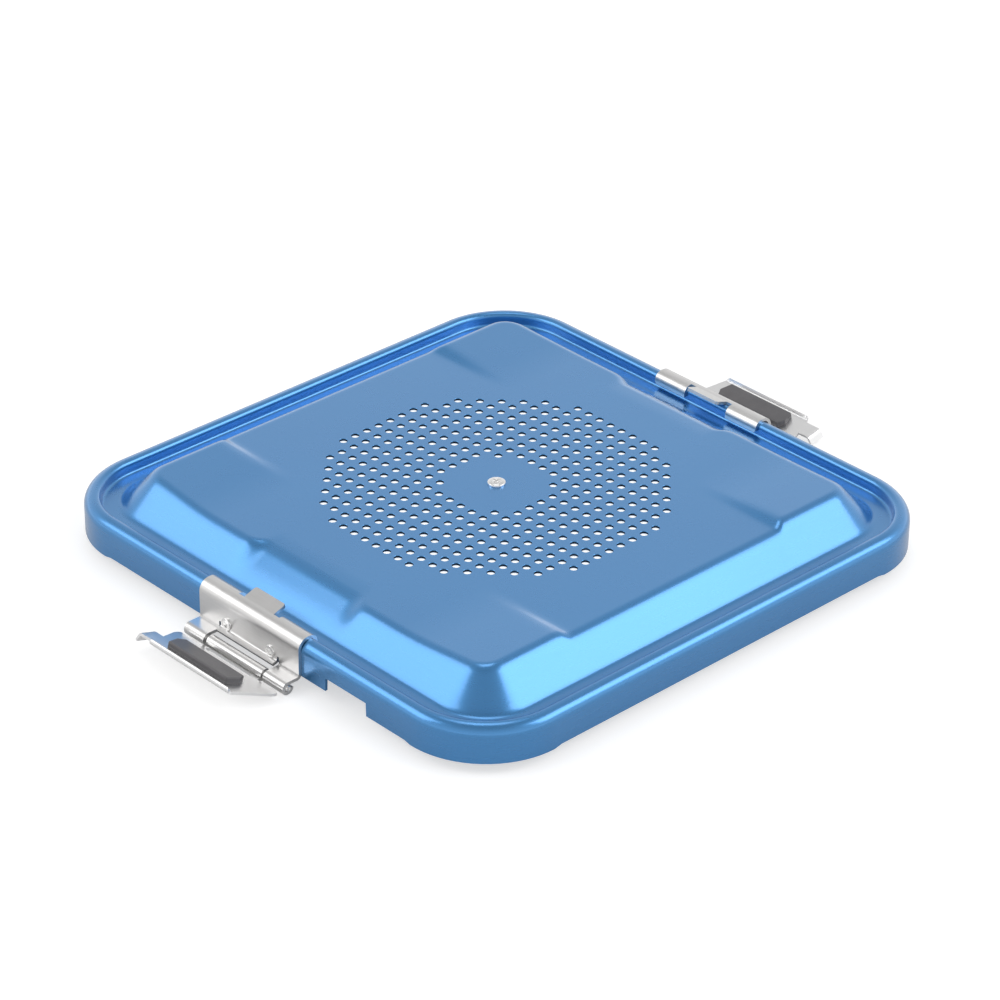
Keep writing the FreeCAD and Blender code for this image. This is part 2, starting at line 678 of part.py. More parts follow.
def washer(label):
    """Plain washer under a rivet's tail, twelve-sided as the rivet is."""
    body = new_body(label)
    outline = drawing_on(body, "XY_Plane", "-washer_sheet")
    many_sided(outline, "0", "0", "washer_width")
    many_sided(outline, "0", "0", "(rivet_width + 2 * rivet_clearance)")
    grown(body, "Pad", outline, "washer_sheet", "ring")
    return body


def placed(piece, x, y, z, axis=(0, 0, 1), angle=0):
    piece.Placement = FreeCAD.Placement(FreeCAD.Vector(value(x), value(y), value(z)),
                                        FreeCAD.Rotation(FreeCAD.Vector(*axis), angle))
    return piece


def latch(side, turn):
    """All the pieces of one latch, drawn at the front and turned to their side of the lid."""
    lever_place = FreeCAD.Placement(FreeCAD.Vector(0, value(pin_y), value(pin_z)),
                                    FreeCAD.Rotation(FreeCAD.Vector(1, 0, 0), -value(side + "_tilt")))
    pieces = [keep(bracket(side))]
    pin = new_body(side + "_hinge_pin")
    section = drawing_on(pin, "YZ_Plane")
    circle(section, pin_y, pin_z, "pin_width")
    grown(pin, "Pad", section, "latch_width + 2 * pin_head", "shaft", both_ways=True)
    pieces.append(keep(pin))

    shank = "bracket_sheet + pan_sheet + washer_sheet"
    rivets = []
    washers = []
    for name, x in (("left", "-rivet_spread"), ("right", "rivet_spread")):
        rivet = flat_rivet(f"{side}_rivet_{name}", "rivet_width", "rivet_head", "rivet_crown", shank, tail=True)
        rivets.append(placed(rivet, x, f"{skirt_y} - bracket_sheet", rivet_z, (1, 0, 0), 90))
        washers.append(placed(washer(f"{side}_washer_{name}"), x, f"{skirt_y} + pan_sheet", rivet_z, (1, 0, 0), 90))
    for item in rivets + washers:
        item.Placement = turn.multiply(item.Placement)
    keep(group(side + "_bracket_rivets", rivets), group(side + "_rivet_washers", washers))

    moving = [keep(lever(side)), keep(grip_pad(side))]
    pad_rivets = []
    for name, x in (("left", "-pad_rivet_spread"), ("right", "pad_rivet_spread")):
        rivet = flat_rivet(f"{side}_pad_rivet_{name}", "pad_rivet_width", "pad_rivet_head", "pad_rivet_crown",
                           "lever_sheet + pad_rivet_depth")
        placed(rivet, x, "-(pad_start + pad_end) / 2", f"-{barrel_radius}", (1, 0, 0), 180)
        pad_rivets.append(rivet)
    keep(group(side + "_pad_rivets", pad_rivets))
    for item in moving + pad_rivets:
        item.Placement = turn.multiply(lever_place).multiply(item.Placement)
    for item in pieces:
        item.Placement = turn.multiply(item.Placement)


# Filter holder under the deck

def centre_stud():
    """Screw from above, stud below the deck, and the seal between them."""
    screw = spun("centre_screw",
                 ("0", f"{deck_z} - screw_length"), ("screw_width / 2", f"{deck_z} - screw_length"),
                 ("screw_width / 2", deck_z), ("screw_head / 2", deck_z),
                 ("screw_head / 2", f"{deck_z} + screw_crown / 3"),
                 ("screw_head / 3", f"{deck_z} + screw_crown"), ("0", f"{deck_z} + screw_crown"))
    cross = drawing_on(screw, "XY_Plane", f"{deck_z} + screw_crown - screw_slot_depth")
    arm = "screw_head / 3.2"
    slot = "screw_slot / 2"
    loop(cross, (f"-{arm}", f"-{slot}"), (f"-{slot}", f"-{slot}"), (f"-{slot}", f"-{arm}"), (slot, f"-{arm}"),
         (slot, f"-{slot}"), (arm, f"-{slot}"), (arm, slot), (slot, slot), (slot, arm), (f"-{slot}", arm),
         (f"-{slot}", slot), (f"-{arm}", slot))
    grown(screw, "Pocket", cross, "2 * screw_slot_depth", "recess", back=True)

    seal = spun("stud_gasket",
                ("screw_width / 2 + rivet_clearance", f"{under_z} - stud_seal_sheet"),
                ("stud_flange / 2", f"{under_z} - stud_seal_sheet"), ("stud_flange / 2", under_z),
                ("screw_width / 2 + rivet_clearance", under_z))
    top = f"({under_z} - stud_seal_sheet)"
    end = f"({top} - stud_length)"
    groove = f"({top} - stud_groove_drop)"
    waist = "stud_width / 2 - stud_groove_depth"
    bore = "screw_width / 2 + rivet_clearance"
    bore_end = f"{deck_z} - screw_length - 2 * rivet_clearance"
    stud = spun("centre_stud",
                (bore, top), (bore, bore_end), ("0", bore_end), ("0", end), (waist, end),
                ("stud_width / 2", f"{end} + stud_groove_depth"),
                ("stud_width / 2", f"{groove} - stud_groove_height / 2"),
                (waist, f"{groove} - stud_groove_height / 2"), (waist, f"{groove} + stud_groove_height / 2"),
                ("stud_width / 2", f"{groove} + stud_groove_height / 2"),
                ("stud_width / 2", f"{top} - stud_flange_height"),
                ("stud_flange / 2", f"{top} - stud_flange_height"), ("stud_flange / 2", top))
    keep(screw, seal, stud)


def hub_rivet_places():
    """Three places round the hub as expressions."""
    return [(f"hub_rivet_circle * cos({turn})", f"hub_rivet_circle * sin({turn})") for turn in (90, 210, 330)]


def hub_rivet_holes(body, height, depth):
    holes = drawing_on(body, "XY_Plane", height)
    for x, y in hub_rivet_places():
        circle(holes, x, y, "hub_rivet_width + 2 * rivet_clearance")
    grown(body, "Pocket", holes, depth, "rivet_holes", back=True)


def filter_holder():
    seal_in = "(stud_flange / 2 + hub_bore_gap)"
    paper = spun("filter_disc",
                 (f"{seal_in}", plate_top), ("filter_width / 2", plate_top),
                 ("filter_width / 2", f"{plate_top} + filter_sheet"), (f"{seal_in}", f"{plate_top} + filter_sheet"))
    rim = "plate_width / 2"
    foot = f"({rim} - plate_rim)"
    web = f"({foot} - plate_slope)"
    bore = "(hub_width / 2 + hub_bore_gap)"
    plate = spun("retention_plate",
                 (bore, f"{web_top} - plate_sheet"), (web, f"{web_top} - plate_sheet"),
                 (foot, f"{plate_top} - plate_sheet"), (rim, f"{plate_top} - plate_sheet"), (rim, plate_top),
                 (foot, plate_top), (web, web_top), (bore, web_top))
    slot = drawing_on(plate, "XY_Plane", f"{web_top} - 2 * plate_sheet")
    loop(slot, ("slot_start", "-slot_start_width / 2"), ("slot_end", "-slot_end_width / 2"),
         ("slot_end", "slot_end_width / 2"), ("slot_start", "slot_start_width / 2"))
    opening = grown(plate, "Pocket", slot, "3 * plate_sheet", "slot", back=True)
    ring = plate.newObject("PartDesign::PolarPattern", "plate_slots_ring")
    ring.Originals = [opening]
    ring.Axis = (slot, ["N_Axis"])
    ring.Angle = 360
    ring.setExpression("Occurrences", bound("plate_slots"))
    plate.Tip = ring
    hub_rivet_holes(plate, f"{web_top} - 2 * plate_sheet", "3 * plate_sheet")

    edge = f"({rim} + plate_seal_side)"
    ring_seal = spun("retention_gasket",
                     (f"{rim} - plate_seal_width", f"{plate_top} - plate_sheet - plate_seal_side"),
                     (edge, f"{plate_top} - plate_sheet - plate_seal_side"),
                     (edge, f"{plate_top} + filter_sheet"), (rim, f"{plate_top} + filter_sheet"),
                     (rim, f"{plate_top} - plate_sheet"), (f"{rim} - plate_seal_width", f"{plate_top} - plate_sheet"))
    keep(paper, plate, ring_seal)


def hub():
    """Hub riveted under the plate, its push button, return spring and locking clip."""
    stud_bore = "(stud_width / 2 + hub_bore_gap)"
    well = "(button_width / 2 + hub_bore_gap)"
    shelf = "(button_flange / 2 + hub_bore_gap)"
    sleeve_bore = "(button_sleeve / 2 + hub_bore_gap)"
    flange_low = f"({hub_top} - hub_flange_height)"
    cap = f"({hub_bottom} + cap_sheet)"
    room = f"({cap} + room_height)"
    housing = spun("hub_housing",
                   (stud_bore, web_top), (stud_bore, f"{clip_z} - clip_wire / 2"),
                   (sleeve_bore, f"{clip_z} - clip_wire / 2"), (sleeve_bore, room), (shelf, room), (shelf, cap),
                   (well, cap), (well, hub_bottom), ("hub_width / 2 - cap_sheet", hub_bottom),
                   ("hub_width / 2", cap), ("hub_width / 2", flange_low), ("hub_flange / 2", flange_low),
                   ("hub_flange / 2", hub_top), ("hub_width / 2", hub_top), ("hub_width / 2", web_top))
    kerf = drawing_on(housing, "XY_Plane", f"{clip_z} - clip_wire / 2 - hub_bore_gap")
    kerf_half = "(stud_width / 2 + clip_wire + 4 * hub_bore_gap)"
    box_loop(kerf, "-hub_width", f"-{kerf_half}", "hub_width", kerf_half)
    grown(housing, "Pocket", kerf, "clip_wire + 2 * hub_bore_gap", "clip_kerf", back=True)
    hub_rivet_holes(housing, f"{flange_low} - hub_flange_height", "3 * hub_flange_height")

    low = f"({hub_bottom} - button_proud)"
    floor = f"({low} + button_floor)"
    ledge = f"({cap} + button_gap)"
    flange_top = f"({ledge} + button_flange_height)"
    sleeve_top = f"({clip_z} - clip_wire / 2 - button_travel - button_gap)"
    pocket = "(spring_width / 2 + button_gap)"
    sleeve_in = "(stud_width / 2 + button_gap)"
    button = spun("release_button",
                  ("0", low), ("button_width / 2 - button_floor / 2", low),
                  ("button_width / 2", f"{low} + button_floor / 2"), ("button_width / 2", ledge),
                  ("button_flange / 2", ledge), ("button_flange / 2", flange_top), (pocket, flange_top),
                  (pocket, floor), ("button_sleeve / 2", floor), ("button_sleeve / 2", sleeve_top),
                  (sleeve_in, sleeve_top), (sleeve_in, floor), ("0", floor))

    spring = new_body("button_spring")
    wire = drawing_on(spring, "XZ_Plane")
    foot = f"({floor} + hub_bore_gap / 2)"
    box_loop(wire, "spring_width / 2 - spring_wire", foot, "spring_width / 2", f"{foot} + spring_wire")
    coil = spring.newObject("PartDesign::AdditiveHelix", "spring_coil")
    coil.Profile = wire
    coil.ReferenceAxis = (wire, ["V_Axis"])
    coil.Mode = "height-turns-angle"
    coil.setExpression("Height", bound(f"{room} - {floor} - spring_wire - hub_bore_gap"))
    coil.setExpression("Turns", bound("spring_turns"))
    spring.Tip = coil

    clip = new_body("locking_clip")
    route = drawing_on(clip, "XY_Plane", clip_z)
    leg = "(stud_width / 2 - stud_groove_depth + clip_wire / 2 + hub_bore_gap)"
    bend = "(-clip_length / 2)"
    tip = "(clip_length / 2)"
    loop(route, (tip, f"-{leg}"), (bend, f"-{leg}", f"-{leg}"), (f"{bend} - {leg}", "0", f"-{leg}"),
         (bend, leg), (tip, leg), closed=False)
    end = drawing_on(clip, "YZ_Plane", tip)
    box_loop(end, f"-{leg} - clip_wire / 2", f"{clip_z} - clip_wire / 2",
             f"-{leg} + clip_wire / 2", f"{clip_z} + clip_wire / 2")
    sweep = clip.newObject("PartDesign::AdditivePipe", "clip_sweep")
    sweep.Profile = end
    sweep.Spine = route
    clip.Tip = sweep

    rivets = []
    for number, (x, y) in enumerate(hub_rivet_places(), start=1):
        rivet = flat_rivet(f"hub_rivet_{number}", "hub_rivet_width", "hub_rivet_head", "hub_rivet_crown",
                           "plate_sheet + hub_flange_height", tail=True)
        rivets.append(placed(rivet, x, y, web_top))
    keep(housing, button, spring, clip, group("hub_rivets", rivets))


# Build

keep(lid_pan())
keep(rim_seal())
latch("front", FreeCAD.Placement())
latch("rear", turned_round)
centre_stud()
filter_holder()
hub()

doc.recompute()
for item in doc.Objects:
    if "Invalid" in item.State or "Error" in item.State:
        raise ValueError(f"{item.Label} failed: {item.State}")
os.makedirs("parts", exist_ok=True)
for node in nodes:
    if node.Shape.isNull() or not node.Shape.isValid():
        raise ValueError(node.Label + " has no valid shape")
    node.Shape.exportStep(os.path.join("parts", node.Label + ".step"))
    size = node.Shape.BoundBox
    print(f"{node.Label:24s} solids {len(node.Shape.Solids)}  volume {node.Shape.Volume:10.1f}  "
          f"z {size.ZMin:6.2f} to {size.ZMax:6.2f}")
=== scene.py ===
# Looks of a sterilization container's lid: blue pressed pan, brushed latches, filter holder below.
# Surfaces are worked out in millimetres and become metres when they turn into meshes.
import json
import math

import bpy
import numpy as np
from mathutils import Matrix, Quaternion, Vector


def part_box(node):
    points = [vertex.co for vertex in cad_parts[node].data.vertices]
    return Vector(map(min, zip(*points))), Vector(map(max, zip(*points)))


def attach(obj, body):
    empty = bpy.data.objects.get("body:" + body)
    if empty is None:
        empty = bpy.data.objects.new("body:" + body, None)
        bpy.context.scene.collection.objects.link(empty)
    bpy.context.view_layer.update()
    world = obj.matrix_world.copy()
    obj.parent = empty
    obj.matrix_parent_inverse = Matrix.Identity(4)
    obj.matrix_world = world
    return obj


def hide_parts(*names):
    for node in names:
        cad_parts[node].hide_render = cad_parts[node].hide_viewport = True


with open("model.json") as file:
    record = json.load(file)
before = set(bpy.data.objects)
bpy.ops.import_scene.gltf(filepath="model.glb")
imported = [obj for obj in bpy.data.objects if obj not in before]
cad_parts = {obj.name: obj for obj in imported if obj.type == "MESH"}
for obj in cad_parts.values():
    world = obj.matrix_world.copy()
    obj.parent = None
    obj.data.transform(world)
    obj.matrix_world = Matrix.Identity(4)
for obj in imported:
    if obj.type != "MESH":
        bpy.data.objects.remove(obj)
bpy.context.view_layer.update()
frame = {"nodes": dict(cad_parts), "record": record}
nodes = frame["nodes"]


def boxMm(node):
    # lowest and highest corner of a CAD node in millimetres
    low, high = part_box(node)
    return np.array(low) * 1000, np.array(high) * 1000


# Shader sums: an expression on wires adds the Math nodes that it needs

class Wire:
    def __init__(self, finish, socket):
        self.finish = finish
        self.socket = socket

    def sum(self, operation, *values):
        return self.finish.add("ShaderNodeMath", {"operation": operation}, *values)

    def __add__(self, other):
        return self.sum("ADD", self, other)

    def __radd__(self, other):
        return self.sum("ADD", other, self)

    def __rsub__(self, other):
        return self.sum("SUBTRACT", other, self)

    def __mul__(self, other):
        return self.sum("MULTIPLY", self, other)

    def __rmul__(self, other):
        return self.sum("MULTIPLY", other, self)

    def above(self, level):
        return self.sum("GREATER_THAN", self, level)

    def limited(self):
        return self.finish.add("ShaderNodeClamp", {}, self)


class Finish:
    # one material, or the world, while its nodes are being laid
    def __init__(self, name, tree=None):
        self.material = None
        if tree is None:
            self.material = bpy.data.materials.new(name)
            self.material.use_nodes = True
            tree = self.material.node_tree
        self.tree = tree
        self.tree.nodes.clear()

    def add(self, kind, settings, *values, out=0, **named):
        # any node: settings first, then values or links for its sockets, by order or by name
        node = self.tree.nodes.new(kind)
        for key, setting in settings.items():
            if key == "stops":
                self.layStops(node.color_ramp, setting)
            else:
                setattr(node, key, setting)
        for place, value in list(enumerate(values)) + list(named.items()):
            socket = node.inputs[place if isinstance(place, int) else place.replace("_", " ")]
            if isinstance(value, Wire):
                self.tree.links.new(value.socket, socket)
            else:
                socket.default_value = value
        return Wire(self, node.outputs[out]) if node.outputs else None

    def layStops(self, ramp, stops):
        while len(ramp.elements) < len(stops):
            ramp.elements.new(0.5)
        for element, (place, level) in zip(ramp.elements, stops):
            element.position = place
            element.color = (level, level, level, 1)

    def place(self, stretch=(1, 1, 1)):
        # object coordinates, stretched so that a pattern runs along one way
        where = self.add("ShaderNodeTexCoord", {}, out=3)
        return self.add("ShaderNodeMapping", {}, where, Scale=stretch)

    def apart(self, where):
        # the three numbers of a vector
        node = self.tree.nodes.new("ShaderNodeSeparateXYZ")
        self.tree.links.new(where.socket, node.inputs[0])
        return [Wire(self, socket) for socket in node.outputs]

    def noise(self, where, scale, detail=3, roughness=0.5):
        return self.add("ShaderNodeTexNoise", {}, Vector=where, Scale=scale, Detail=detail,
                        Roughness=roughness)

    def ramp(self, value, *stops):
        return self.add("ShaderNodeValToRGB", {"stops": stops}, value)

    def mixed(self, share, first, second):
        # colours go through Mix, never through Math
        node = self.tree.nodes.new("ShaderNodeMix")
        node.data_type = "RGBA"
        for index, value in ((0, share), (6, first), (7, second)):
            if isinstance(value, Wire):
                self.tree.links.new(value.socket, node.inputs[index])
            else:
                node.inputs[index].default_value = value
        return Wire(self, node.outputs[2])

    def bump(self, height, depth, strength):
        # depth is the height of the relief in millimetres
        return self.add("ShaderNodeBump", {}, Strength=strength, Distance=depth / 1000, Height=height)

    def surface(self, **named):
        shader = self.add("ShaderNodeBsdfPrincipled", {}, **named)
        self.add("ShaderNodeOutputMaterial", {}, shader)
        return self.material


# Finishes

anodised = {
    "blue": (0.064, 0.280, 0.61, 1),
    "deepBlue": (0.058, 0.256, 0.575, 1),
    # painted shade for the shadowed walls inside the holes
    "holeShade": (0.006, 0.016, 0.034, 1),
    "roughness": 0.27,
    "coatRoughness": 0.16,
    "wall": (0.02815, 0.02905, 0.080),   # heights between which the holes' walls lie, and the field's radius
}


def blueAnodised():
    # dyed anodised sheet: clouded a little, etched to a satin, with a clear hard skin
    finish = Finish("blueAnodised")
    where = finish.place()
    cloud = finish.noise(where, scale=14, detail=2)
    grain = finish.noise(where, scale=5200, detail=2)
    streak = finish.noise(finish.place(stretch=(1, 1, 12)), scale=90, detail=4, roughness=0.7)
    colour = finish.mixed(cloud, anodised["deepBlue"], anodised["blue"])
    # the walls of the holes are painted dark: painted shade for the shadow inside each hole; they are also
    # left dull, without the clear skin
    x, y, z = finish.apart(where)
    low, high, reach = anodised["wall"]
    wall = z.above(low) * (1 - z.above(high)) * (1 - (x * x + y * y).above(reach ** 2))
    colour = finish.mixed(wall, colour, anodised["holeShade"])
    roughness = anodised["roughness"] - 0.03 + 0.05 * streak + 0.03 * grain + 0.4 * wall
    return finish.surface(
        Base_Color=colour, Metallic=0.8, Roughness=roughness,
        Coat_Weight=0.85 * (1 - wall), Coat_Roughness=anodised["coatRoughness"], Coat_IOR=1.5,
        Normal=finish.bump(grain, depth=0.006, strength=0.35))


brushed = {
    "light": (0.80, 0.795, 0.79, 1),
    "dark": (0.57, 0.565, 0.56, 1),
    # pale tone painted on the levers' plates as a painted highlight
    "paintedSheen": (0.95, 0.95, 0.955, 1),
    "roughness": 0.24,
    "leverFrom": 0.151,           # distance from the middle beyond which only the levers lie
}


def brushedSteel():
    # stainless sheet brushed along X: long fine lines in tone, gloss and relief; the levers' plates are
    # painted paler, a painted highlight for the bright sheen they catch
    finish = Finish("brushedSteel")
    where = finish.place()
    lines = finish.noise(finish.place(stretch=(0.03, 1, 1)), scale=2600, detail=5, roughness=0.75)
    patches = finish.noise(where, scale=60, detail=3)
    tone = (lines * 0.75 + patches * 0.35).limited()
    colour = finish.mixed(tone, brushed["dark"], brushed["light"])
    y = finish.apart(where)[1]
    # painted highlight: beyond leverFrom the colour is blended towards a pale tone for the sheen on the
    # levers' plates
    colour = finish.mixed(0.75 * (y * y).above(brushed["leverFrom"] ** 2), colour, brushed["paintedSheen"])
    return finish.surface(
        Base_Color=colour, Metallic=1.0, Roughness=brushed["roughness"] + 0.16 * lines,
        Normal=finish.bump(lines, depth=0.02, strength=0.5))


tones = {                         # darker and lighter tone of each
    "polished": ((0.80, 0.795, 0.79, 1), (0.93, 0.925, 0.92, 1)),
    "grip": ((0.088, 0.086, 0.092, 1), (0.14, 0.135, 0.142, 1)),
    "silicone": ((0.52, 0.51, 0.47, 1), (0.62, 0.61, 0.57, 1)),
    "rolled": ((0.55, 0.56, 0.57, 1), (0.72, 0.725, 0.73, 1)),
    "hub": ((0.60, 0.61, 0.62, 1), (0.68, 0.69, 0.70, 1)),
    "fleece": ((0.78, 0.78, 0.76, 1), (0.93, 0.93, 0.92, 1)),
}


def polishedSteel():
    # turned and polished small parts, with faint wear
    finish = Finish("polishedSteel")
    wear = finish.noise(finish.place(), scale=700, detail=4, roughness=0.6)
    colour = finish.mixed(wear, *tones["polished"])
    return finish.surface(Base_Color=colour, Metallic=1.0, Roughness=0.2 + 0.14 * wear,
                          Normal=finish.bump(wear, depth=0.01, strength=0.4))


def gripPlastic():
    # moulded dark grey plastic with a fine spark-eroded grain
    finish = Finish("gripPlastic")
    where = finish.place()
    grain = finish.noise(where, scale=2600, detail=3, roughness=0.6)
    scuff = finish.noise(where, scale=160, detail=4)
    colour = finish.mixed(scuff, *tones["grip"])
    return finish.surface(Base_Color=colour, Roughness=0.27 + 0.2 * grain,
                          Normal=finish.bump(grain, depth=0.05, strength=0.6))


def paleSilicone():
    finish = Finish("paleSilicone")
    where = finish.place()
    dust = finish.noise(where, scale=220, detail=4)
    skin = finish.noise(where, scale=1800, detail=2)
    colour = finish.mixed(dust, *tones["silicone"])
    return finish.surface(Base_Color=colour, Roughness=0.48 + 0.16 * skin,
                          Normal=finish.bump(skin, depth=0.03, strength=0.5))


def satinAluminium():
    # rolled plate: faint rolling lines and a dull satin
    finish = Finish("satinAluminium")
    lines = finish.noise(finish.place(stretch=(0.05, 1, 1)), scale=1500, detail=4, roughness=0.7)
    colour = finish.mixed(lines, *tones["rolled"])
    return finish.surface(Base_Color=colour, Metallic=1.0, Roughness=0.3 + 0.15 * lines,
                          Normal=finish.bump(lines, depth=0.01, strength=0.4))


def hubPlastic():
    finish = Finish("hubPlastic")
    where = finish.place()
    grain = finish.noise(where, scale=2200, detail=3)
    flow = finish.noise(where, scale=70, detail=2)
    colour = finish.mixed(flow, *tones["hub"])
    return finish.surface(Base_Color=colour, Roughness=0.38 + 0.15 * grain,
                          Normal=finish.bump(grain, depth=0.03, strength=0.4))


def filterFleece():
    # pressed fibres, seen through the holes; made to glow as painted light for the light from the table that
    # comes through them
    finish = Finish("filterFleece")
    where = finish.place()
    fibres = finish.noise(where, scale=1900, detail=6, roughness=0.8)
    colour = finish.mixed(fibres, *tones["fleece"])
    # painted light: the fleece glows with its own colour, though it is no lamp
    return finish.surface(Base_Color=colour, Roughness=0.9, Emission_Color=colour, Emission_Strength=0.7,
                          Normal=finish.bump(fibres, depth=0.12, strength=0.8))


finishes = {
    "blue_anodised": blueAnodised(),
    "stainless": brushedSteel(),
    "polished_steel": polishedSteel(),
    "silicone": paleSilicone(),
    "grip_plastic": gripPlastic(),
    "raw_aluminium": satinAluminium(),
    "hub_plastic": hubPlastic(),
    "filter_paper": filterFleece(),
}
for part in frame["record"]["subparts"]:
    mesh = nodes[part["node"]].data
    mesh.materials.clear()
    mesh.materials.append(finishes[part["material_slot"]])
print("finishes laid")


# Surfaces

hair = 0.01                       # places closer than this, in millimetres, count as one


def softStep(low, high, values):
    # 0 below low, 1 above high, an S curve between
    share = np.clip((values - low) / (high - low), 0, 1)
    return share * share * (3 - 2 * share)


def softMin(first, second, reach):
    # the lower of two heights, rounded off where they are within reach of each other
    near = np.clip(1 - np.abs(first - second) / reach, 0, None)
    return np.minimum(first, second) - reach * near ** 2 / 4


def softMax(first, second, reach):
    return -softMin(-first, -second, reach)


def arc(acrossMid, upMid, radius, start, end, count):
    # points of a round stretch in a section, as distance across and height
    angles = np.radians(np.linspace(start, end, count))
    return np.column_stack([acrossMid + radius * np.cos(angles), upMid + radius * np.sin(angles)])


def cornerNormals(points, quads):
    # each point's normal: the sum of its faces' diagonals' cross products, made one long
    across = points[quads[:, 2]] - points[quads[:, 0]]
    over = points[quads[:, 3]] - points[quads[:, 1]]
    faceNormals = np.cross(across, over)
    sums = np.zeros_like(points)
    for corner in range(4):
        np.add.at(sums, quads[:, corner], faceNormals)
    return sums / np.maximum(np.linalg.norm(sums, axis=1), 1e-12)[:, None]


def makePiece(name, points, faceSets, body, slot, sharpAngle, stands):
    # mesh of the points that its faces use, riding on a body and standing for CAD nodes
    used, compact = np.unique(np.concatenate([faces.ravel() for faces in faceSets]), return_inverse=True)
    ends = np.cumsum([0] + [faces.size for faces in faceSets])
    polygons = []
    for faces, start, end in zip(faceSets, ends[:-1], ends[1:]):
        polygons += compact[start:end].reshape(faces.shape).tolist()
    mesh = bpy.data.meshes.new(name)
    mesh.from_pydata((points[used] / 1000).tolist(), [], polygons)
    mesh.shade_smooth()
    mesh.set_sharp_from_angle(angle=math.radians(sharpAngle))
    mesh.materials.append(finishes[slot])
    piece = bpy.data.objects.new(name, mesh)
    bpy.context.scene.collection.objects.link(piece)
    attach(piece, body)
    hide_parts(*stands)
    return piece


# The pressed pan

panLow, panHigh = boxMm("lid_pan")
pan = {
    "side": panHigh[0],           # half the lid's width
    "corner": 41.0,               # corner radius outside
    "skirtFoot": panLow[2],       # lowest edge, at the corners
    "sheet": 1.2,
    "skirtHeight": 17.1,
    "relief": 0.8,                # the skirt's middle stretches end this much higher
    "reliefEnd": 98.0,
    "notch": (47.0, 72.0, 7.0),   # from, to and height of the slot in the skirt beside each latch
    "beadWidth": 7.5,
    "outerRound": 4.9,
    "innerRound": 2.4,
    "gutterDrop": 6.0,
    "gutterRound": 1.5,
    "slopeFoot": 16.5,            # inset of the slope's foot and its run
    "slopeRun": 13.0,
    "deckRise": 7.2,
    "deckRoll": 2.8,
    "footRoll": 1.6,
    "lobeRise": 2.4,
    "lobeFold": 68.0,
    "lobeStep": (60.8, 67.4),
    "recess": (28.0, 38.4),       # where the recess's side walls begin and end
    "recessDepth": 4.5,
    "recessDrop": 9.0,
    "recessRoll": 1.5,
    "lobeRoll": 0.25,             # softens the lobe's fold, as a share of its run
    "pitch": 7.0,
    "holeRadius": 1.86,
    "holeFlare": 1.9,             # the punch breaks out wider below
    "holeLip": (0.16, 0.14),      # width and depth of the broken edge above
    "field": (22.5, 78.5),        # rings between which the holes lie
}
beadTop = pan["skirtFoot"] + pan["skirtHeight"]
gutterTop = beadTop - pan["gutterDrop"]
deckTop = beadTop + pan["deckRise"]
cornerMid = pan["side"] - pan["corner"]
cellCount = 22                    # cells of the holes' lattice along each way
fieldEdge = cellCount / 2 * pan["pitch"]
bentEdge = 86.0                   # from the field's edge to here the grid's lines bend to the creases
sideEdge = 87.0                   # from here to the inner edge they spread round the corners
innerEdge = 96.0                  # where the grid meets the rim's rays
bandSteps = (5, 12)               # steps of the grid up to the side's edge and on to the inner edge


def deckHeight(x, y):
    # flat, with four lobes that ramp up towards the far corners: rise x ramp in |x| x step in |y|
    edge = pan["side"] - pan["slopeFoot"] - pan["slopeRun"]
    ramp = softMax((np.abs(x) - pan["lobeFold"]) / (edge - pan["lobeFold"]), 0, pan["lobeRoll"])
    return deckTop + pan["lobeRise"] * ramp * softStep(*pan["lobeStep"], np.abs(y))


def panHeight(x, y, inset):
    # the slope rises at an even rate with the inset, drawn back to a flatter plane in the recess behind
    # each latch; the deck cuts it off above and the gutter below, each with a roll
    rate = (deckTop - gutterTop) / pan["slopeRun"]
    slope = gutterTop + (inset - pan["slopeFoot"]) * rate
    topInset = pan["slopeFoot"] + pan["slopeRun"] + pan["recessDepth"]
    recessRate = pan["recessDrop"] / (pan["recessDepth"] + pan["recessDrop"] / rate)
    recess = deckTop + (inset - topInset) * recessRate
    inRecess = (1 - softStep(*pan["recess"], np.abs(x))) * (np.abs(y) > np.abs(x))
    slope = slope - inRecess * softMax(slope - recess, 0, pan["recessRoll"])
    return softMax(softMin(slope, deckHeight(x, y), pan["deckRoll"]), gutterTop, pan["footRoll"])


def insetOf(x, y):
    # distance in from the lid's outline, a square with round corners
    beyondX = np.abs(x) - cornerMid
    beyondY = np.abs(y) - cornerMid
    outside = np.hypot(np.maximum(beyondX, 0), np.maximum(beyondY, 0))
    return pan["corner"] - outside - np.minimum(np.maximum(beyondX, beyondY), 0)


def gridLines():
    # lines of the deck's grid: four to each hole's cell, set where an even sixteenth of a turn meets the
    # cell's side, then wider ones to the inner edge, close together near the corner
    half = pan["pitch"] / 2
    within = half * np.array([0, 1 - math.tan(math.pi / 8), 1, 1 + math.tan(math.pi / 8)])
    cells = (np.arange(-cellCount // 2, cellCount // 2)[:, None] * pan["pitch"] + within).ravel()
    bent = np.linspace(fieldEdge, sideEdge, bandSteps[0] + 1)
    outer = np.concatenate([bent, np.linspace(sideEdge, innerEdge, bandSteps[1] + 1)[1:]])
    return np.concatenate([-outer[:0:-1], cells, outer])


def drawnTogether(lines, knots):
    # shifts lines along a side so that they gather at a crease: pairs of from and to, the same both ways
    start, end = np.array(knots).T
    return np.sign(lines) * np.interp(np.abs(lines), start, end)


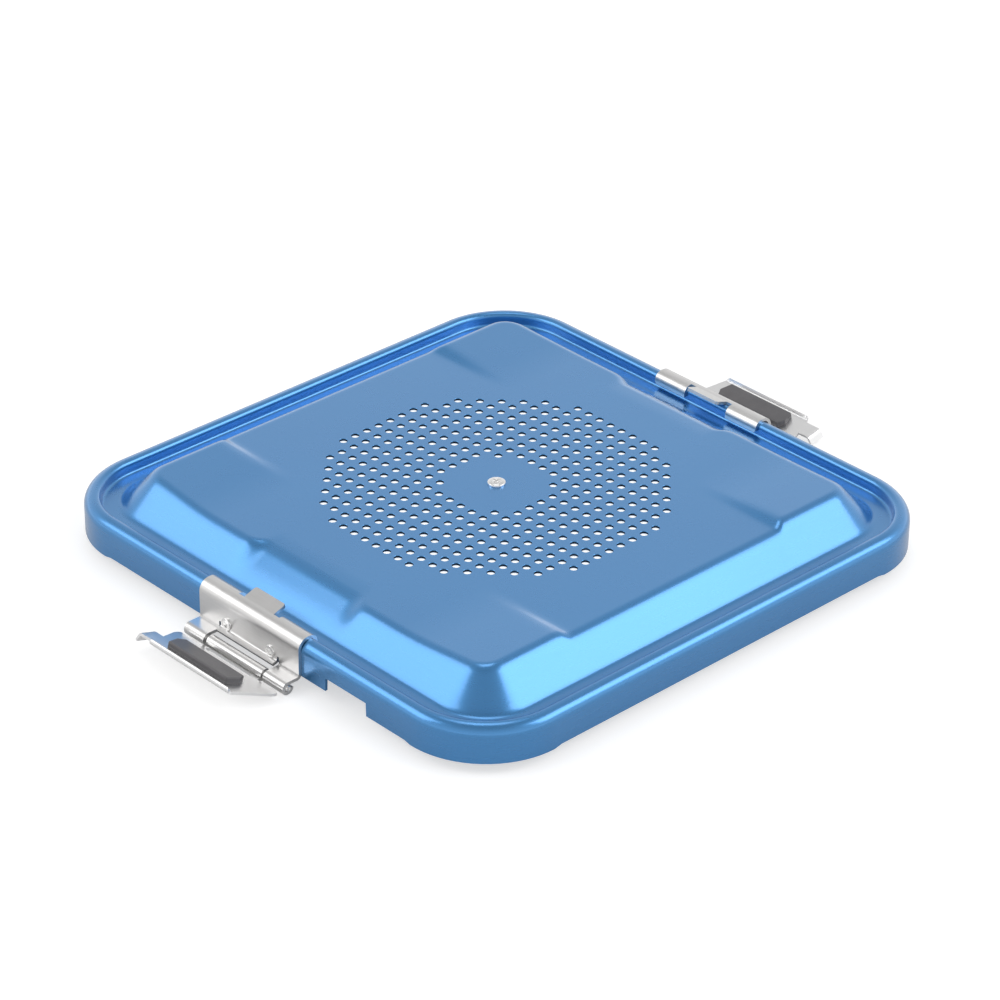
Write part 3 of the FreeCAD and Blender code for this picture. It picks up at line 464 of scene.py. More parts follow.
creaseKnots = [(0, 0), (56, 56), (58.05, 59.4), (59.5, 61.4), (60.95, 62.3), (63, 63.1), (65.05, 64.1),
               (66.5, 65.1), (67.95, 66.1), (70, 69), (72.05, 72), (140, 140)]
latchKnots = [(0, 0), (28, 28), (30.05, 30.6), (31.5, 32.2), (32.95, 33.2), (35, 34.2), (37.05, 35.4),
              (38.5, 37), (42, 42), (44.05, 44.6), (45.5, 46.9), (46.95, 47.1), (49, 49), (70, 70),
              (72.05, 71.9), (73.5, 72.1), (74.95, 74.8), (77, 77), (140, 140)]

# insets of the section's points on gutter and slope, close together at the rolls
slopeInsets = np.concatenate([[12, 14, 15, 16, 17, 18.2, 20, 22, 24, 25.6, 26.8, 27.8],
                              np.arange(28.6, 37.1, 0.8)])


def panGrid():
    # the deck inside the rim's rays: a square grid whose outer bands bend to the creases
    lines = gridLines()
    x, y = np.meshgrid(lines, lines, indexing="ij")
    outX = softStep(fieldEdge, bentEdge, np.abs(x))
    outY = softStep(fieldEdge, bentEdge, np.abs(y))
    bentY = y + outX * (1 - outY) * (drawnTogether(y, creaseKnots) - y)
    bentX = x + outY * (1 - outX) * (drawnTogether(x, latchKnots) - x)
    return lines, bentX, bentY, panHeight(bentX, bentY, insetOf(bentX, bentY))


def panRays(lines):
    # the rim as a section carried round the lid: ray by section point, from the skirt's foot inwards
    outerMid = pan["outerRound"]
    innerMid = pan["beadWidth"] - pan["innerRound"]
    gutterMid = pan["beadWidth"] + pan["gutterRound"]
    rim = np.vstack([
        arc(outerMid, beadTop - pan["outerRound"], pan["outerRound"], 180, 90, 9),
        arc(innerMid, beadTop - pan["innerRound"], pan["innerRound"], 90, 0, 6),
        arc(gutterMid, gutterTop + pan["gutterRound"], pan["gutterRound"], 180, 270, 5),
    ])
    knots = [creaseKnots, latchKnots, creaseKnots, latchKnots]
    climb = np.array([0, 0.35, 0.7])   # the skirt's points, as shares of its height up to the bead
    sides = []
    for turn in range(4):
        along = drawnTogether(lines[:-1], knots[turn])
        outward = np.clip((np.abs(lines[:-1]) - sideEdge) / (innerEdge - sideEdge), 0, 1)
        # the first quarter of the outer band runs on along the side, the rest turns round the corner
        runOn = sideEdge + (cornerMid - sideEdge) * np.clip(4 * outward, 0, 1)
        straight = np.sign(along) * np.where(outward > 0, runOn, np.abs(along))
        angle = np.sign(along) * np.radians(45 * np.clip((4 * outward - 1) / 3, 0, 1))
        foot = pan["skirtFoot"] + pan["relief"] * (np.abs(straight) < pan["reliefEnd"])
        notched = (turn % 2 == 1) & (straight > pan["notch"][0]) & (straight < pan["notch"][1])
        foot = np.where(notched, pan["skirtFoot"] + pan["notch"][2], foot)
        inset = np.concatenate([0 * climb, rim[:, 0], slopeInsets])[None, :] * np.ones((len(along), 1))
        reach = pan["corner"] - inset
        sideX = cornerMid + reach * np.cos(angle)[:, None]
        sideY = straight[:, None] + reach * np.sin(angle)[:, None]
        x, y = [(sideX, sideY), (-sideY, sideX), (-sideX, -sideY), (sideY, -sideX)][turn]
        z = panHeight(x, y, inset)
        z[:, len(climb):len(climb) + len(rim)] = rim[:, 1]
        z[:, :len(climb)] = foot[:, None] + climb * (rim[0, 1] - foot)[:, None]
        sides.append(np.stack([x, y, z], axis=-1))
    return np.concatenate(sides)


def quadsBetween(first, second):
    # closed strip between two rings of point numbers
    return np.stack([first, np.roll(first, -1), np.roll(second, -1), second], axis=-1).reshape(-1, 4)


def lidPan():
    lines, gridX, gridY, gridZ = panGrid()
    count = len(lines)
    number = np.arange(count * count).reshape(count, count)
    grid = np.stack([gridX, gridY, gridZ], axis=-1).reshape(-1, 3)

    # holes take four by four squares of the grid each
    first = sum(bandSteps)
    last = first + 4 * cellCount
    middles = (np.arange(cellCount) - (cellCount - 1) / 2) * pan["pitch"]
    distance = np.hypot(*np.meshgrid(middles, middles, indexing="ij"))
    holed = (distance > pan["field"][0]) & (distance < pan["field"][1])
    cellX, cellY = np.nonzero(holed)
    stepX = np.array([4, 4, 4, 3, 2, 1, 0, 0, 0, 0, 0, 1, 2, 3, 4, 4])
    stepY = np.roll(stepX, 4)
    outline = number[first + 4 * cellX[:, None] + stepX, first + 4 * cellY[:, None] + stepY]
    holeMid = np.column_stack([middles[cellX], middles[cellY]])
    corners = len(stepX)
    turn = np.arange(corners) * 2 * math.pi / corners

    def ring(radius, height):
        points = np.empty((len(cellX), corners, 3))
        points[..., 0] = holeMid[:, :1] + radius * np.cos(turn)
        points[..., 1] = holeMid[:, 1:] + radius * np.sin(turn)
        points[..., 2] = height
        return points.reshape(-1, 3)

    squares = np.stack([number[:-1, :-1], number[1:, :-1], number[1:, 1:], number[:-1, 1:]], axis=-1)
    plain = np.ones((count - 1, count - 1), bool)
    plain[first:last, first:last] = ~np.kron(holed, np.ones((4, 4), bool))
    deckQuads = squares[plain]

    rays = panRays(lines)
    rayCount, sectionCount = rays.shape[:2]
    lipWidth, lipDepth = pan["holeLip"]
    lip = ring(pan["holeRadius"] + lipWidth, deckTop)
    edge = ring(pan["holeRadius"], deckTop - lipDepth)
    topParts = [grid, rays.reshape(-1, 3), lip, edge]
    starts = np.cumsum([0] + [len(part) for part in topParts])
    rayNumber = starts[1] + np.arange(rayCount * sectionCount).reshape(rayCount, sectionCount)
    lipNumber = starts[2] + np.arange(len(lip)).reshape(-1, corners)
    edgeNumber = starts[3] + np.arange(len(edge)).reshape(-1, corners)
    inner = np.concatenate([number[-1, :-1], number[:0:-1, -1], number[0, :0:-1], number[:-1, 0]])

    def holeQuads(outside, inside):
        corner = [outside, np.roll(outside, -1, 1), np.roll(inside, -1, 1), inside]
        return np.stack(corner, axis=-1).reshape(-1, 4)

    strips = [quadsBetween(rayNumber[:, k], rayNumber[:, k + 1]) for k in range(sectionCount - 1)]
    sheetQuads = np.concatenate([deckQuads] + strips + [quadsBetween(rayNumber[:, -1], inner)])
    topQuads = np.concatenate([sheetQuads, holeQuads(outline, lipNumber), holeQuads(lipNumber, edgeNumber)])
    top = np.concatenate(topParts)

    # the underside is the top let down by the sheet along its normals
    normals = cornerNormals(top, sheetQuads)
    under = top[:starts[2]] - pan["sheet"] * normals[:starts[2]]
    low = ring(pan["holeFlare"], deckTop - pan["sheet"])
    underStart = len(top)
    lowNumber = underStart + len(under) + np.arange(len(low)).reshape(-1, corners)
    underQuads = (sheetQuads + underStart)[:, ::-1]
    foot = rayNumber[:, 0]
    quads = np.concatenate([
        topQuads, underQuads, holeQuads(edgeNumber, lowNumber), holeQuads(lowNumber, outline + underStart),
        quadsBetween(foot + underStart, foot)])
    makePiece("lidPan", np.concatenate([top, under, low]), [quads], "lid", "blue_anodised",
              sharpAngle=30, stands=["lid_pan"])


lidPan()
print("pan pressed")


# Sheet metal and turned parts

def turnedSide(points, side):
    # everything is worked out at the front; the rear latch is the same, half a turn on
    return points * (np.array([1, 1, 1]) if side == "front" else np.array([-1, -1, 1]))


def respaced(path, count):
    # the same path with its points evenly spread
    lengths = np.concatenate([[0], np.cumsum(np.linalg.norm(np.diff(path, axis=0), axis=1))])
    marks = np.linspace(0, lengths[-1], count)
    return np.column_stack([np.interp(marks, lengths, path[:, 0]), np.interp(marks, lengths, path[:, 1])])


def bothWays(*places):
    # places right of the middle, repeated on the left
    right = np.array(places)
    return np.concatenate([-right[::-1], right if right[0] > 0 else right[1:]])


def gridFaces(shown):
    # quads of a grid of lines by path points where a cell is shown; they face left of the path's way
    number = np.arange((shown.shape[0] + 1) * (shown.shape[1] + 1)).reshape(shown.shape[0] + 1, -1)
    quads = np.stack([number[:-1, :-1], number[:-1, 1:], number[1:, 1:], number[1:, :-1]], axis=-1)
    return quads[shown]


def cellMiddles(values):
    return (values[:-1] + values[1:]) / 2


def thicken(piece, sheet, edge):
    # a wall inwards from the drawn face, and its edges broken
    wall = piece.modifiers.new("wall", "SOLIDIFY")
    wall.thickness = sheet / 1000
    wall.offset = -1
    wall.use_even_offset = True
    rounds = piece.modifiers.new("edges", "BEVEL")
    rounds.width = edge / 1000
    rounds.segments = 2
    rounds.limit_method = "ANGLE"
    rounds.angle_limit = math.radians(50)
    rounds.harden_normals = True


def spunFaces(profile, count):
    # a profile of radius and height, going up on the outside, turned about the upright axis; a radius of 0
    # closes in a point, and a profile that ends where it starts closes in itself
    turn = np.linspace(0, 2 * math.pi, count, endpoint=False)
    rings = np.stack([profile[:, :1] * np.cos(turn), profile[:, :1] * np.sin(turn),
                      profile[:, 1:] + 0 * turn], axis=-1)
    number = np.arange(len(profile) * count).reshape(-1, count)
    if np.allclose(profile[0], profile[-1]):
        number[-1] = number[0]
    faces = []
    for inner, outer, low, high in zip(number[:-1], number[1:], profile[:-1, 0], profile[1:, 0]):
        if low < 0.000001:
            faces.append(np.stack([np.full(count, inner[0]), np.roll(outer, -1), outer], axis=-1))
        elif high < 0.000001:
            faces.append(np.stack([inner, np.roll(inner, -1), np.full(count, outer[0])], axis=-1))
        else:
            faces.append(quadsBetween(inner, outer))
    return rings.reshape(-1, 3), faces


def joined(*parts):
    # several point and face sets as one
    points = np.concatenate([part[0] for part in parts])
    starts = np.cumsum([0] + [len(part[0]) for part in parts[:-1]])
    return points, [faces + start for part, start in zip(parts, starts) for faces in part[1]]


def dome(radius, crown, rim, count=7):
    # profile of a low domed head from its middle to its rim: a flat ellipse on a short straight edge
    angles = np.radians(np.linspace(90, 0, count))
    return np.column_stack([radius * np.cos(angles), rim + (crown - rim) * np.sin(angles)])


def leverFrame(points, side):
    # from the lever's own frame, pin at the origin, to its place and tilt
    tilt = math.radians(latch[side + "Tilt"])
    x, y, z = np.moveaxis(points, -1, 0)
    moved = np.stack([x, latch["pinY"] + y * math.cos(tilt) + z * math.sin(tilt),
                      latch["pinZ"] - y * math.sin(tilt) + z * math.cos(tilt)], axis=-1)
    return turnedSide(moved, side)


# Latches

latch = {
    "skirtY": -pan["side"],
    "pinY": -pan["side"] - 7.5,
    "pinZ": 3.05,
    "frontTilt": 18.0,
    "rearTilt": 11.0,
}
bracket = {
    "half": 32.0,
    "sheet": 1.47,
    "stand": 1.5,                  # how far the outer face stands off bead and skirt
    "outerBend": 5.2,              # radii over the bead, outside and inside
    "innerBend": 4.2,
    "faceRows": (15.0, 12.0, 9.6),  # heights of the path's points on the face
    "tabRoot": (0.9, 0.3),         # the fold in front of the tab's root
    "wrapDrop": 4.0,
    "wrapFrom": 13.0,
    "tab": (9.5, 4.5, 11.0, 2.2),  # half width, root and reach in from the skirt, lift
    "guardHalf": 18.2,
    "guard": (4.2, 7.6, 7.15),     # reach out from the skirt, heights at root and end
    "guardLip": (0.5, 0.05, 0.15),  # the guard's rolled end: length, rise and fall
    "knuckleFrom": 19.3,
    "knuckle": 3.05,
    "curlEnd": 352,                # degrees
    "bend": 0.9,
    "cornerRound": 0.8,
}


def latchBracket(side):
    # a path in from the free edge, over the bead, down the face and out to the curl; the middle third has the
    # tab above and the guard below instead, so each line across x takes its own path
    stand = bracket["stand"]
    top = beadTop + stand
    face = latch["skirtY"] - stand
    inside = latch["skirtY"] + pan["beadWidth"]
    tabHalf, tabRoot, tabReach, tabLift = bracket["tab"]
    root = latch["skirtY"] + tabRoot
    bend = bracket["bend"]
    inner, outer = bracket["innerBend"], bracket["outerBend"]
    wrap = np.vstack([[inside + stand, beadTop - bracket["wrapDrop"]],
                      arc(inside - inner + stand, top - inner, inner, 0, 90, 14), [root, top]])
    foldReach, foldLift = bracket["tabRoot"]
    tab = np.array([[latch["skirtY"] + tabReach, top + tabLift], [root + foldReach, top + foldLift],
                    [root, top]])
    over = np.vstack([arc(face + outer, top - outer, outer, 90, 180, 14)]
                     + [[face, height] for height in bracket["faceRows"]])
    faceFoot = over[-1]
    reach, guardRoot, guardEnd = bracket["guard"]
    lipReach, lipRise, lipDrop = bracket["guardLip"]
    guard = np.vstack([faceFoot, arc(face - bend, guardRoot + bend, bend, 0, -90, 7),
                       [latch["skirtY"] - reach + lipReach, guardEnd + lipRise],
                       [latch["skirtY"] - reach, guardEnd - lipDrop]])
    shelf = 2 * bracket["knuckle"]
    knuckle = np.vstack([faceFoot, arc(face - bend, shelf + bend, bend, 0, -90, 7),
                         arc(latch["pinY"], latch["pinZ"], bracket["knuckle"], 90, bracket["curlEnd"], 30)])
    # points of the path above the face and below it
    upper, lower = 18, 42
    lines = bothWays(0, 4.4, 8.4, tabHalf, bracket["wrapFrom"], 14.2, bracket["guardHalf"],
                     bracket["knuckleFrom"], 22.0, 27.0, 30.8, bracket["half"])
    paths = {
        "tab": np.vstack([respaced(tab, upper), over, respaced(guard, lower)[1:]]),
        "middle": np.vstack([respaced(wrap, upper), over, respaced(guard, lower)[1:]]),
        "end": np.vstack([respaced(wrap, upper), over, respaced(knuckle, lower)[1:]]),
    }
    kinds = ["tab" if abs(x) < tabHalf + hair else "middle" if abs(x) < bracket["guardHalf"] + hair else "end"
             for x in lines]
    section = np.array([paths[kind] for kind in kinds])
    across = lines[:, None] * np.ones(section.shape[1])
    # round the free corners of tab and wrap
    steps = np.arange(section.shape[1])
    nearEnd = np.clip(1 - steps / 3, 0, 1) ** 2
    atEdge = (np.abs(across) > bracket["half"] - hair) | (np.abs(np.abs(across) - tabHalf) < hair)
    across = across - np.sign(across) * nearEnd * bracket["cornerRound"] * atEdge
    points = np.concatenate([across[..., None], section], axis=-1)
    middles = np.abs(cellMiddles(lines))
    shown = np.ones((len(lines) - 1, section.shape[1] - 1), bool)
    shown[(middles > tabHalf) & (middles < bracket["wrapFrom"]), :upper - 1] = False
    shown[(middles > bracket["guardHalf"]) & (middles < bracket["knuckleFrom"]), -(lower - 1):] = False
    piece = makePiece(side + "Bracket", turnedSide(points.reshape(-1, 3), side), [gridFaces(shown)], "lid",
                      "stainless", sharpAngle=35, stands=[side + "_bracket"])
    thicken(piece, bracket["sheet"], edge=0.3)


lever = {
    "sheet": 1.2,
    "barrel": 2.75,                # radius round the pin
    "barrelHalf": 17.7,
    "shoulder": -4.7,              # outwards from the pin: the plate's root, its taper's start, its end
    "straight": -8.5,
    "reach": -27.3,
    "rootHalf": 32.0,
    "endHalf": 25.5,
    "window": (-3.2, -6.2, 14.2),  # its near and far side, and half its width
    "windowRound": (12.7, 1.6),    # where its round ends begin and how long they are
    "plateRows": [-24.9, -24.5, -22.5, -20.5, -18.5, -16.5, -16.1, -12.0, -8.5, -7.2, -6.2, -5.6, -5.2,
                  -4.95, -4.7, -4.0, -3.2, -1.5],
    "curlEnd": 203,                # degrees
    "lipHeight": 2.8,
    "lipBend": 1.5,
    "lipTop": [(0.5, 0), (0.16, 0.25), (0, 0.7)],   # the lip's rounded top: in from its face and down
    "lipEndRound": 1.2,
    "ear": (-16.5, -24.5),         # from and to along the plate; its path runs sideways and down
    "earPath": [(-33.9, 0), (-34.3, -0.06), (-34.6, -0.3), (-34.85, -0.8), (-35.45, -2.0), (-36.05, -3.2)],
    "corner": 1.6,
}


def latchLever(side):
    # a path down the lip's outside, along the plate's underside and round the pin; across it, lines that the
    # taper draws in outside the barrel, and on one end lines that run on into the ear
    low = -lever["barrel"]
    reach, bend = lever["reach"], lever["lipBend"]
    path = np.vstack([
        [[reach + into, low + lever["lipHeight"] - down] for into, down in lever["lipTop"]],
        arc(reach + bend, low + bend, bend, 180, 270, 7),
        [[row, low] for row in lever["plateRows"]],
        arc(0, 0, lever["barrel"], -90, lever["curlEnd"], 34)])
    roundFrom, roundLength = lever["windowRound"]
    lines = bothWays(0, 4.0, 8.0, roundFrom, 13.4, 13.9, 14.2, 16.2, 17.2, lever["barrelHalf"], 22.0, 26.0,
                     30.0, 31.2, lever["rootHalf"])
    earCount = len(lever["earPath"]) + 1
    y, z = path[:, 0], path[:, 1]
    belowPin = 0.2
    onPlate = (y < lever["shoulder"] + hair) & (z < belowPin)
    # half width of the plate along the path, its root corners rounded
    half = np.interp(y, [reach, lever["straight"]], [lever["endHalf"], lever["rootHalf"]])
    fromShoulder = np.clip((lever["shoulder"] - y) / lever["corner"], 0, 1)
    half = half - onPlate * lever["corner"] * (1 - np.sqrt(1 - (1 - fromShoulder) ** 2))
    lipEnd = np.clip(1 - np.arange(len(path)) / 3, 0, 1) ** 2
    half = half - lipEnd * lever["lipEndRound"]
    barrelHalf = lever["barrelHalf"]
    outside = np.abs(lines)[:, None] - barrelHalf
    drawn = barrelHalf + outside * (half - barrelHalf) / (lever["rootHalf"] - barrelHalf)
    across = np.sign(lines)[:, None] * np.where(outside > 0, drawn, np.abs(lines)[:, None])
    # the window's ends are round
    start, end, windowHalf = lever["window"]
    middle = (start + end) / 2
    share = np.clip((np.abs(lines) - roundFrom) / roundLength, 0, 1) * (np.abs(lines) < windowHalf + hair)
    inWindow = (z < low + hair) & (y >= end - hair) & (y <= start + hair)
    narrow = np.sqrt(1 - share ** 2)[:, None]
    outward = np.where(inWindow[None, :], middle + (y - middle)[None, :] * narrow, y[None, :])
    points = np.stack([across, outward, z[None, :] + 0 * across], axis=-1)
    # the ear: its lines start at the plate's edge
    earY, earEnd = lever["ear"]
    earRows = (y <= earY + hair) & (y >= earEnd - hair) & (z < low + hair)
    edge = points[0]
    earX, earZ = np.array(lever["earPath"]).T
    first = edge * [0.5, 1, 1] + np.array([earX[0] * 0.5, 0, 0])
    rest = edge[None] * [0, 1, 1] + np.stack([earX, 0 * earX, earZ], axis=-1)[:, None]
    points = np.concatenate([rest[::-1], first[None], points])
    shown = np.ones((len(points) - 1, len(path) - 1), bool)
    rowMiddle = cellMiddles(y)
    flat = cellMiddles(z) < low + hair
    lineMiddle = np.concatenate([np.full(earCount, np.inf), np.abs(cellMiddles(lines))])
    barrelRow = ~((rowMiddle < lever["shoulder"]) & (cellMiddles(z) < belowPin))
    shown[np.ix_(lineMiddle > barrelHalf, barrelRow)] = False
    shown[np.ix_(lineMiddle < windowHalf, flat & (rowMiddle > end) & (rowMiddle < start))] = False
    shown[:earCount] = (earRows[:-1] & earRows[1:])[None, :]
    piece = makePiece(side + "Lever", leverFrame(points.reshape(-1, 3), side), [gridFaces(shown)],
                      side + "_latch", "stainless", sharpAngle=35, stands=[side + "_lever"])
    thicken(piece, lever["sheet"], edge=0.25)


gripPad = {
    "corners": [(-18.8, -13.2), (-20.8, -16.8), (-19.0, -23.0), (19.0, -23.0), (20.8, -16.8), (18.8, -13.2)],
    "round": 0.75,
    "seat": -1.55,
    "steps": [(0.12, 0), (0, 0.2), (0, 2.45), (0.1, 2.72), (0.3, 2.92), (0.55, 3.0), (0.72, 3.0)],
}


def outlineRing(corners, roundness, inset, count=6):
    # a polygon's outline with round corners, drawn in by the inset: each corner's arc keeps its middle
    before = corners - np.roll(corners, 1, axis=0)
    before /= np.linalg.norm(before, axis=1)[:, None]
    after = np.roll(before, -1, axis=0)
    inwardBefore = np.column_stack([-before[:, 1], before[:, 0]])
    inwardAfter = np.column_stack([-after[:, 1], after[:, 0]])
    spread = 1 + (inwardBefore * inwardAfter).sum(axis=1)
    middle = corners + roundness * (inwardBefore + inwardAfter) / spread[:, None]
    share = np.linspace(0, 1, count)[None, :, None]
    outward = -(inwardBefore[:, None] * (1 - share) + inwardAfter[:, None] * share)
    outward /= np.linalg.norm(outward, axis=-1)[..., None]
    return (middle[:, None] + (roundness - inset) * outward).reshape(-1, 2)


def gripPadBlock(side):
    # rings of one outline, drawn in and raised step by step, closed above and below
    corners = np.array(gripPad["corners"])
    rings = []
    for inset, height in gripPad["steps"]:
        outline = outlineRing(corners, gripPad["round"], inset)
        rings.append(np.column_stack([outline, np.full(len(outline), gripPad["seat"] + height)]))
    number = np.arange(len(rings) * len(outline)).reshape(len(rings), -1)
    faces = [quadsBetween(low, high) for low, high in zip(number[:-1], number[1:])]
    faces += [number[-1][None], number[0][::-1][None]]
    makePiece(side + "GripPad", leverFrame(np.concatenate(rings), side), faces, side + "_latch",
              "grip_plastic", sharpAngle=40, stands=[side + "_grip_pad"])


rivet = {
    "places": (-14.0, 14.0),
    "height": 10.45,
    "head": (2.8, 1.1, 0.6),      # radius, crown and straight rim
    "shank": (1.5, 3.5),
    "tail": (2.7, 0.8, 0.2),
    "washer": (1.6, 3.5, 0.8),    # inner and outer radius, thickness
    "washerBevel": 0.12,
    "washerSeat": 2.0,            # in from the skirt's outer face
    "padPlaces": (-12.0, 12.0),
    "padAway": -18.1,
    "padHead": (2.2, 0.8, 0.15),
    "padShank": (1.2, 3.0),
}


def rivetBody(head, shank, tail=None):
    # head above, shank down through the sheets, and a dome at its end where it is closed
    radius, length = shank
    end = np.array([[radius, -length], [0, -length]])
    if tail:
        end = dome(*tail)[::-1] * [1, -1] - [0, length]
        end = np.vstack([[radius, -length], [tail[0], -length], end])
    profile = np.vstack([dome(*head), [head[0], 0], [radius, 0], end])
    return spunFaces(profile[::-1], 32)


def bracketRivets(side):
    # rivets and washers lie along Y, heads outside
    low, high, sheet = rivet["washer"]
    bevel = rivet["washerBevel"]
    ring = np.array([[low, bevel], [low + bevel, 0], [high - bevel, 0], [high, bevel], [high, sheet - bevel],
                     [high - bevel, sheet], [low + bevel, sheet], [low, sheet - bevel], [low, bevel]])
    head = rivetBody(rivet["head"], rivet["shank"], rivet["tail"])
    kinds = (
        ("BracketRivets", "_bracket_rivets", head, -bracket["stand"]),
        ("RivetWashers", "_rivet_washers", spunFaces(ring, 36), rivet["washerSeat"]),
    )
    for name, node, (points, faces), seat in kinds:
        laid = points[:, [0, 2, 1]] * [1, -1, 1]
        parts = [(laid + [x, latch["skirtY"] + seat, rivet["height"]], faces) for x in rivet["places"]]
        allPoints, allFaces = joined(*parts)
        makePiece(side + name, turnedSide(allPoints, side), allFaces, "lid", "polished_steel",
                  sharpAngle=40, stands=[side + node])


def padRivets(side):
    points, faces = rivetBody(rivet["padHead"], rivet["padShank"])
    laid = points * [1, -1, -1]
    parts = [(laid + [x, rivet["padAway"], -lever["barrel"]], faces) for x in rivet["padPlaces"]]
    allPoints, allFaces = joined(*parts)
    makePiece(side + "PadRivets", leverFrame(allPoints, side), allFaces, side + "_latch",
              "polished_steel", sharpAngle=40, stands=[side + "_pad_rivets"])


hingePin = {
    "half": 32.6,
    "end": [(0, -0.35), (0.55, -0.35), (0.75, 0), (1.05, 0), (1.5, -0.7)],
}


def latchPin(side):
    # turned along X, with a centre mark and a broad bevel at each end
    end = np.array(hingePin["end"])
    profile = np.vstack([end + [0, hingePin["half"]], (end * [1, -1] - [0, hingePin["half"]])[::-1]])
    points, faces = spunFaces(profile[::-1], 40)
    laid = points[:, [2, 0, 1]] + [0, latch["pinY"], latch["pinZ"]]
    makePiece(side + "HingePin", turnedSide(laid, side), faces, "lid", "polished_steel",
              sharpAngle=35, stands=[side + "_hinge_pin"])


for side in ("front", "rear"):
    latchBracket(side)
    latchLever(side)
    gripPadBlock(side)
    bracketRivets(side)
    padRivets(side)
    latchPin(side)
print("latches laid on")


# Centre screw and filter

screw = {
    "head": (4.0, 1.6, 0.8),
    "shank": (2.0, 6.0),
    "cross": (0.55, 2.5, 0.9),    # half width, reach and depth of the cross slot
    "crossSides": (0.12, 0.5),    # how far its sides and its ends slope
    "bevel": 0.1,
}


def centreScrew():
    # domed head with a cross slot pressed in: the dome's height less a soft-edged cross
    radius, crown, rim = screw["head"]
    across = np.concatenate([[0], np.linspace(0.2, 2.9, 19), [3.2, 3.5, 3.75, 3.92, radius]])
    head = np.column_stack([across, rim + (crown - rim) * np.sqrt(1 - (across / radius) ** 2 * 0.9999)])
    shank, length = screw["shank"]
    bevel = screw["bevel"]
    profile = np.vstack([head, [[radius, bevel], [radius - bevel, 0], [shank, 0], [shank, -length],
                                [0, -length]]])
    points, faces = spunFaces(profile[::-1], 72)
    half, reach, deep = screw["cross"]
    slope, endSlope = screw["crossSides"]
    aside = 1 - softStep(half - slope, half + slope, np.abs(points[:, :2]))
    along = 1 - softStep(reach - endSlope, reach, np.abs(points[:, :2]))
    arm = np.maximum(aside[:, 0] * along[:, 1], aside[:, 1] * along[:, 0])
    points[:, 2] -= deep * arm * (points[:, 2] > rim)
    makePiece("centreScrew", points + [0, 0, deckTop], faces, "lid", "polished_steel",
              sharpAngle=40, stands=["centre_screw"])


filterDisc = {
    "radii": (7.7, 95.0),
    "heights": (27.36, 27.98),
    "edge": 0.15,                 # how far the rim's middle stands out
    "ripple": 0.02,
    "waves": (0.41, 0.37, 0.13, 0.19),
}


def filterFleeceDisc():
    # a thin disc of pressed fibres close under the deck, its upper face a little uneven
    low, high = filterDisc["radii"]
    bottom, top = filterDisc["heights"]
    across = np.linspace(low, high, 40)
    upper = np.vstack([np.column_stack([across, np.full(len(across), top)]),
                       [high + filterDisc["edge"], (top + bottom) / 2]])
    lower = [[radius, bottom] for radius in across[::-13]]
    profile = np.vstack([upper, lower, upper[:1]])
    points, faces = spunFaces(profile[::-1], 120)
    x, y = points[:, 0], points[:, 1]
    waveX, waveY, swellX, swellY = filterDisc["waves"]
    wave = np.sin(x * waveX) * np.sin(y * waveY) + np.sin(x * swellX + y * swellY)
    points[:, 2] += filterDisc["ripple"] * wave * (points[:, 2] > top - hair)
    makePiece("filterDisc", points, faces, "filter_holder", "filter_paper",
              sharpAngle=40, stands=["filter_disc"])


centreScrew()
filterFleeceDisc()
print("screw and filter set")


# Studio

studio = {
    "sky": [(0.0, 1.2), (0.32, 0.86), (0.45, 0.86), (0.95, 0.42)],   # height and brightness
    "leftBox": {"toward": (-0.50, -0.60, 0.62), "away": 2.4, "size": (1.5, 1.3), "glow": 1.75},
    "rightBox": {"toward": (0.58, 0.50, 0.64), "away": 2.4, "size": (1.6, 1.2), "glow": 2.4},
    "topBox": {"toward": (-0.20, 0.16, 0.96), "away": 2.4, "size": (0.9, 0.9), "glow": 1.8},
    "floorColour": (0.60, 0.60, 0.60, 1),
    "floorLift": 0.58,
    "mirrorLift": 0.12,
}


def softBox(name, toward, away, size, glow):
    # a panel that faces the lid; its power gives it that brightness all over
    lamp = bpy.data.lights.new(name, "AREA")
    lamp.shape = "RECTANGLE"
    lamp.size, lamp.size_y = size
    lamp.energy = glow * math.pi * size[0] * size[1]
    panel = bpy.data.objects.new(name, lamp)
    direction = Vector(toward).normalized()
    panel.location = direction * away
    panel.rotation_euler = direction.to_track_quat("Z", "Y").to_euler()
    bpy.context.scene.collection.objects.link(panel)


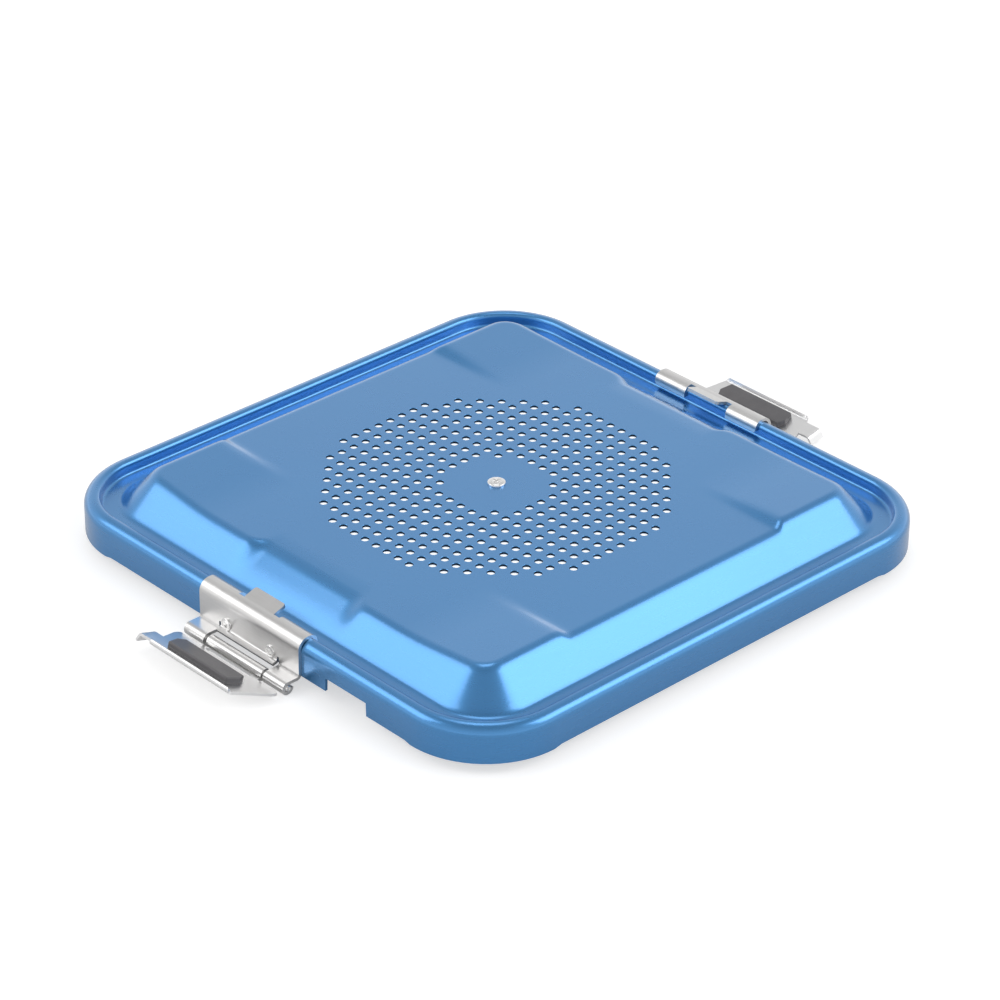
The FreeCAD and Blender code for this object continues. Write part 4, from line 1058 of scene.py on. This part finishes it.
def makeSky():
    # pale room, brightest at the horizon and darker overhead; the camera sees plain white
    world = bpy.data.worlds.new("room")
    bpy.context.scene.world = world
    world.use_nodes = True
    sky = Finish("room", world.node_tree)
    where = sky.add("ShaderNodeTexCoord", {}, out=0)
    height = sky.apart(where)[2]
    tone = sky.ramp(height, *studio["sky"])
    seen = sky.add("ShaderNodeLightPath", {}, out=0)
    light = sky.add("ShaderNodeBackground", {}, Color=sky.mixed(seen, tone, (1, 1, 1, 1)), Strength=1.0)
    sky.add("ShaderNodeOutputWorld", {}, light)


def makeFloor():
    # white table that keeps the lid's shadow, lifted to white for the camera and in reflections
    reach = 4.0
    mesh = bpy.data.meshes.new("table")
    corners = [(-reach, -reach, 0), (reach, -reach, 0), (reach, reach, 0), (-reach, reach, 0)]
    mesh.from_pydata(corners, [], [(0, 1, 2, 3)])
    table = bpy.data.objects.new("table", mesh)
    bpy.context.scene.collection.objects.link(table)
    finish = Finish("tableWhite")
    paper = finish.add("ShaderNodeBsdfDiffuse", {}, Color=studio["floorColour"])
    seen = finish.add("ShaderNodeLightPath", {}, out=0)
    mirrored = finish.add("ShaderNodeLightPath", {}, out=3)
    lift = finish.add("ShaderNodeEmission", {}, Color=(1, 1, 1, 1),
                      Strength=seen * studio["floorLift"] + mirrored * studio["mirrorLift"])
    both = finish.add("ShaderNodeAddShader", {}, paper, lift)
    finish.add("ShaderNodeOutputMaterial", {}, both)
    mesh.materials.append(finish.material)


camera = {
    "place": (1.0239, -0.9707, 0.8497),
    "aim": (0.0001, 0.0021, 0.02),
    "roll": 0.6,
    "lens": 134.5,
}


def makeCamera():
    eye = bpy.data.cameras.new("camera")
    eye.lens = camera["lens"]
    eye.sensor_width = 36
    eye.clip_start = 0.05
    eye.clip_end = 50
    holder = bpy.data.objects.new("camera", eye)
    ahead = Vector(camera["aim"]) - Vector(camera["place"])
    holder.location = camera["place"]
    holder.rotation_mode = "QUATERNION"
    roll = Quaternion((0, 0, 1), math.radians(camera["roll"]))
    holder.rotation_quaternion = ahead.to_track_quat("-Z", "Y") @ roll
    bpy.context.scene.collection.objects.link(holder)
    bpy.context.scene.camera = holder


makeSky()
makeFloor()
for name in ("leftBox", "rightBox", "topBox"):
    softBox(name, **studio[name])
makeCamera()
bpy.context.scene.view_settings.view_transform = "Standard"
print("studio set")
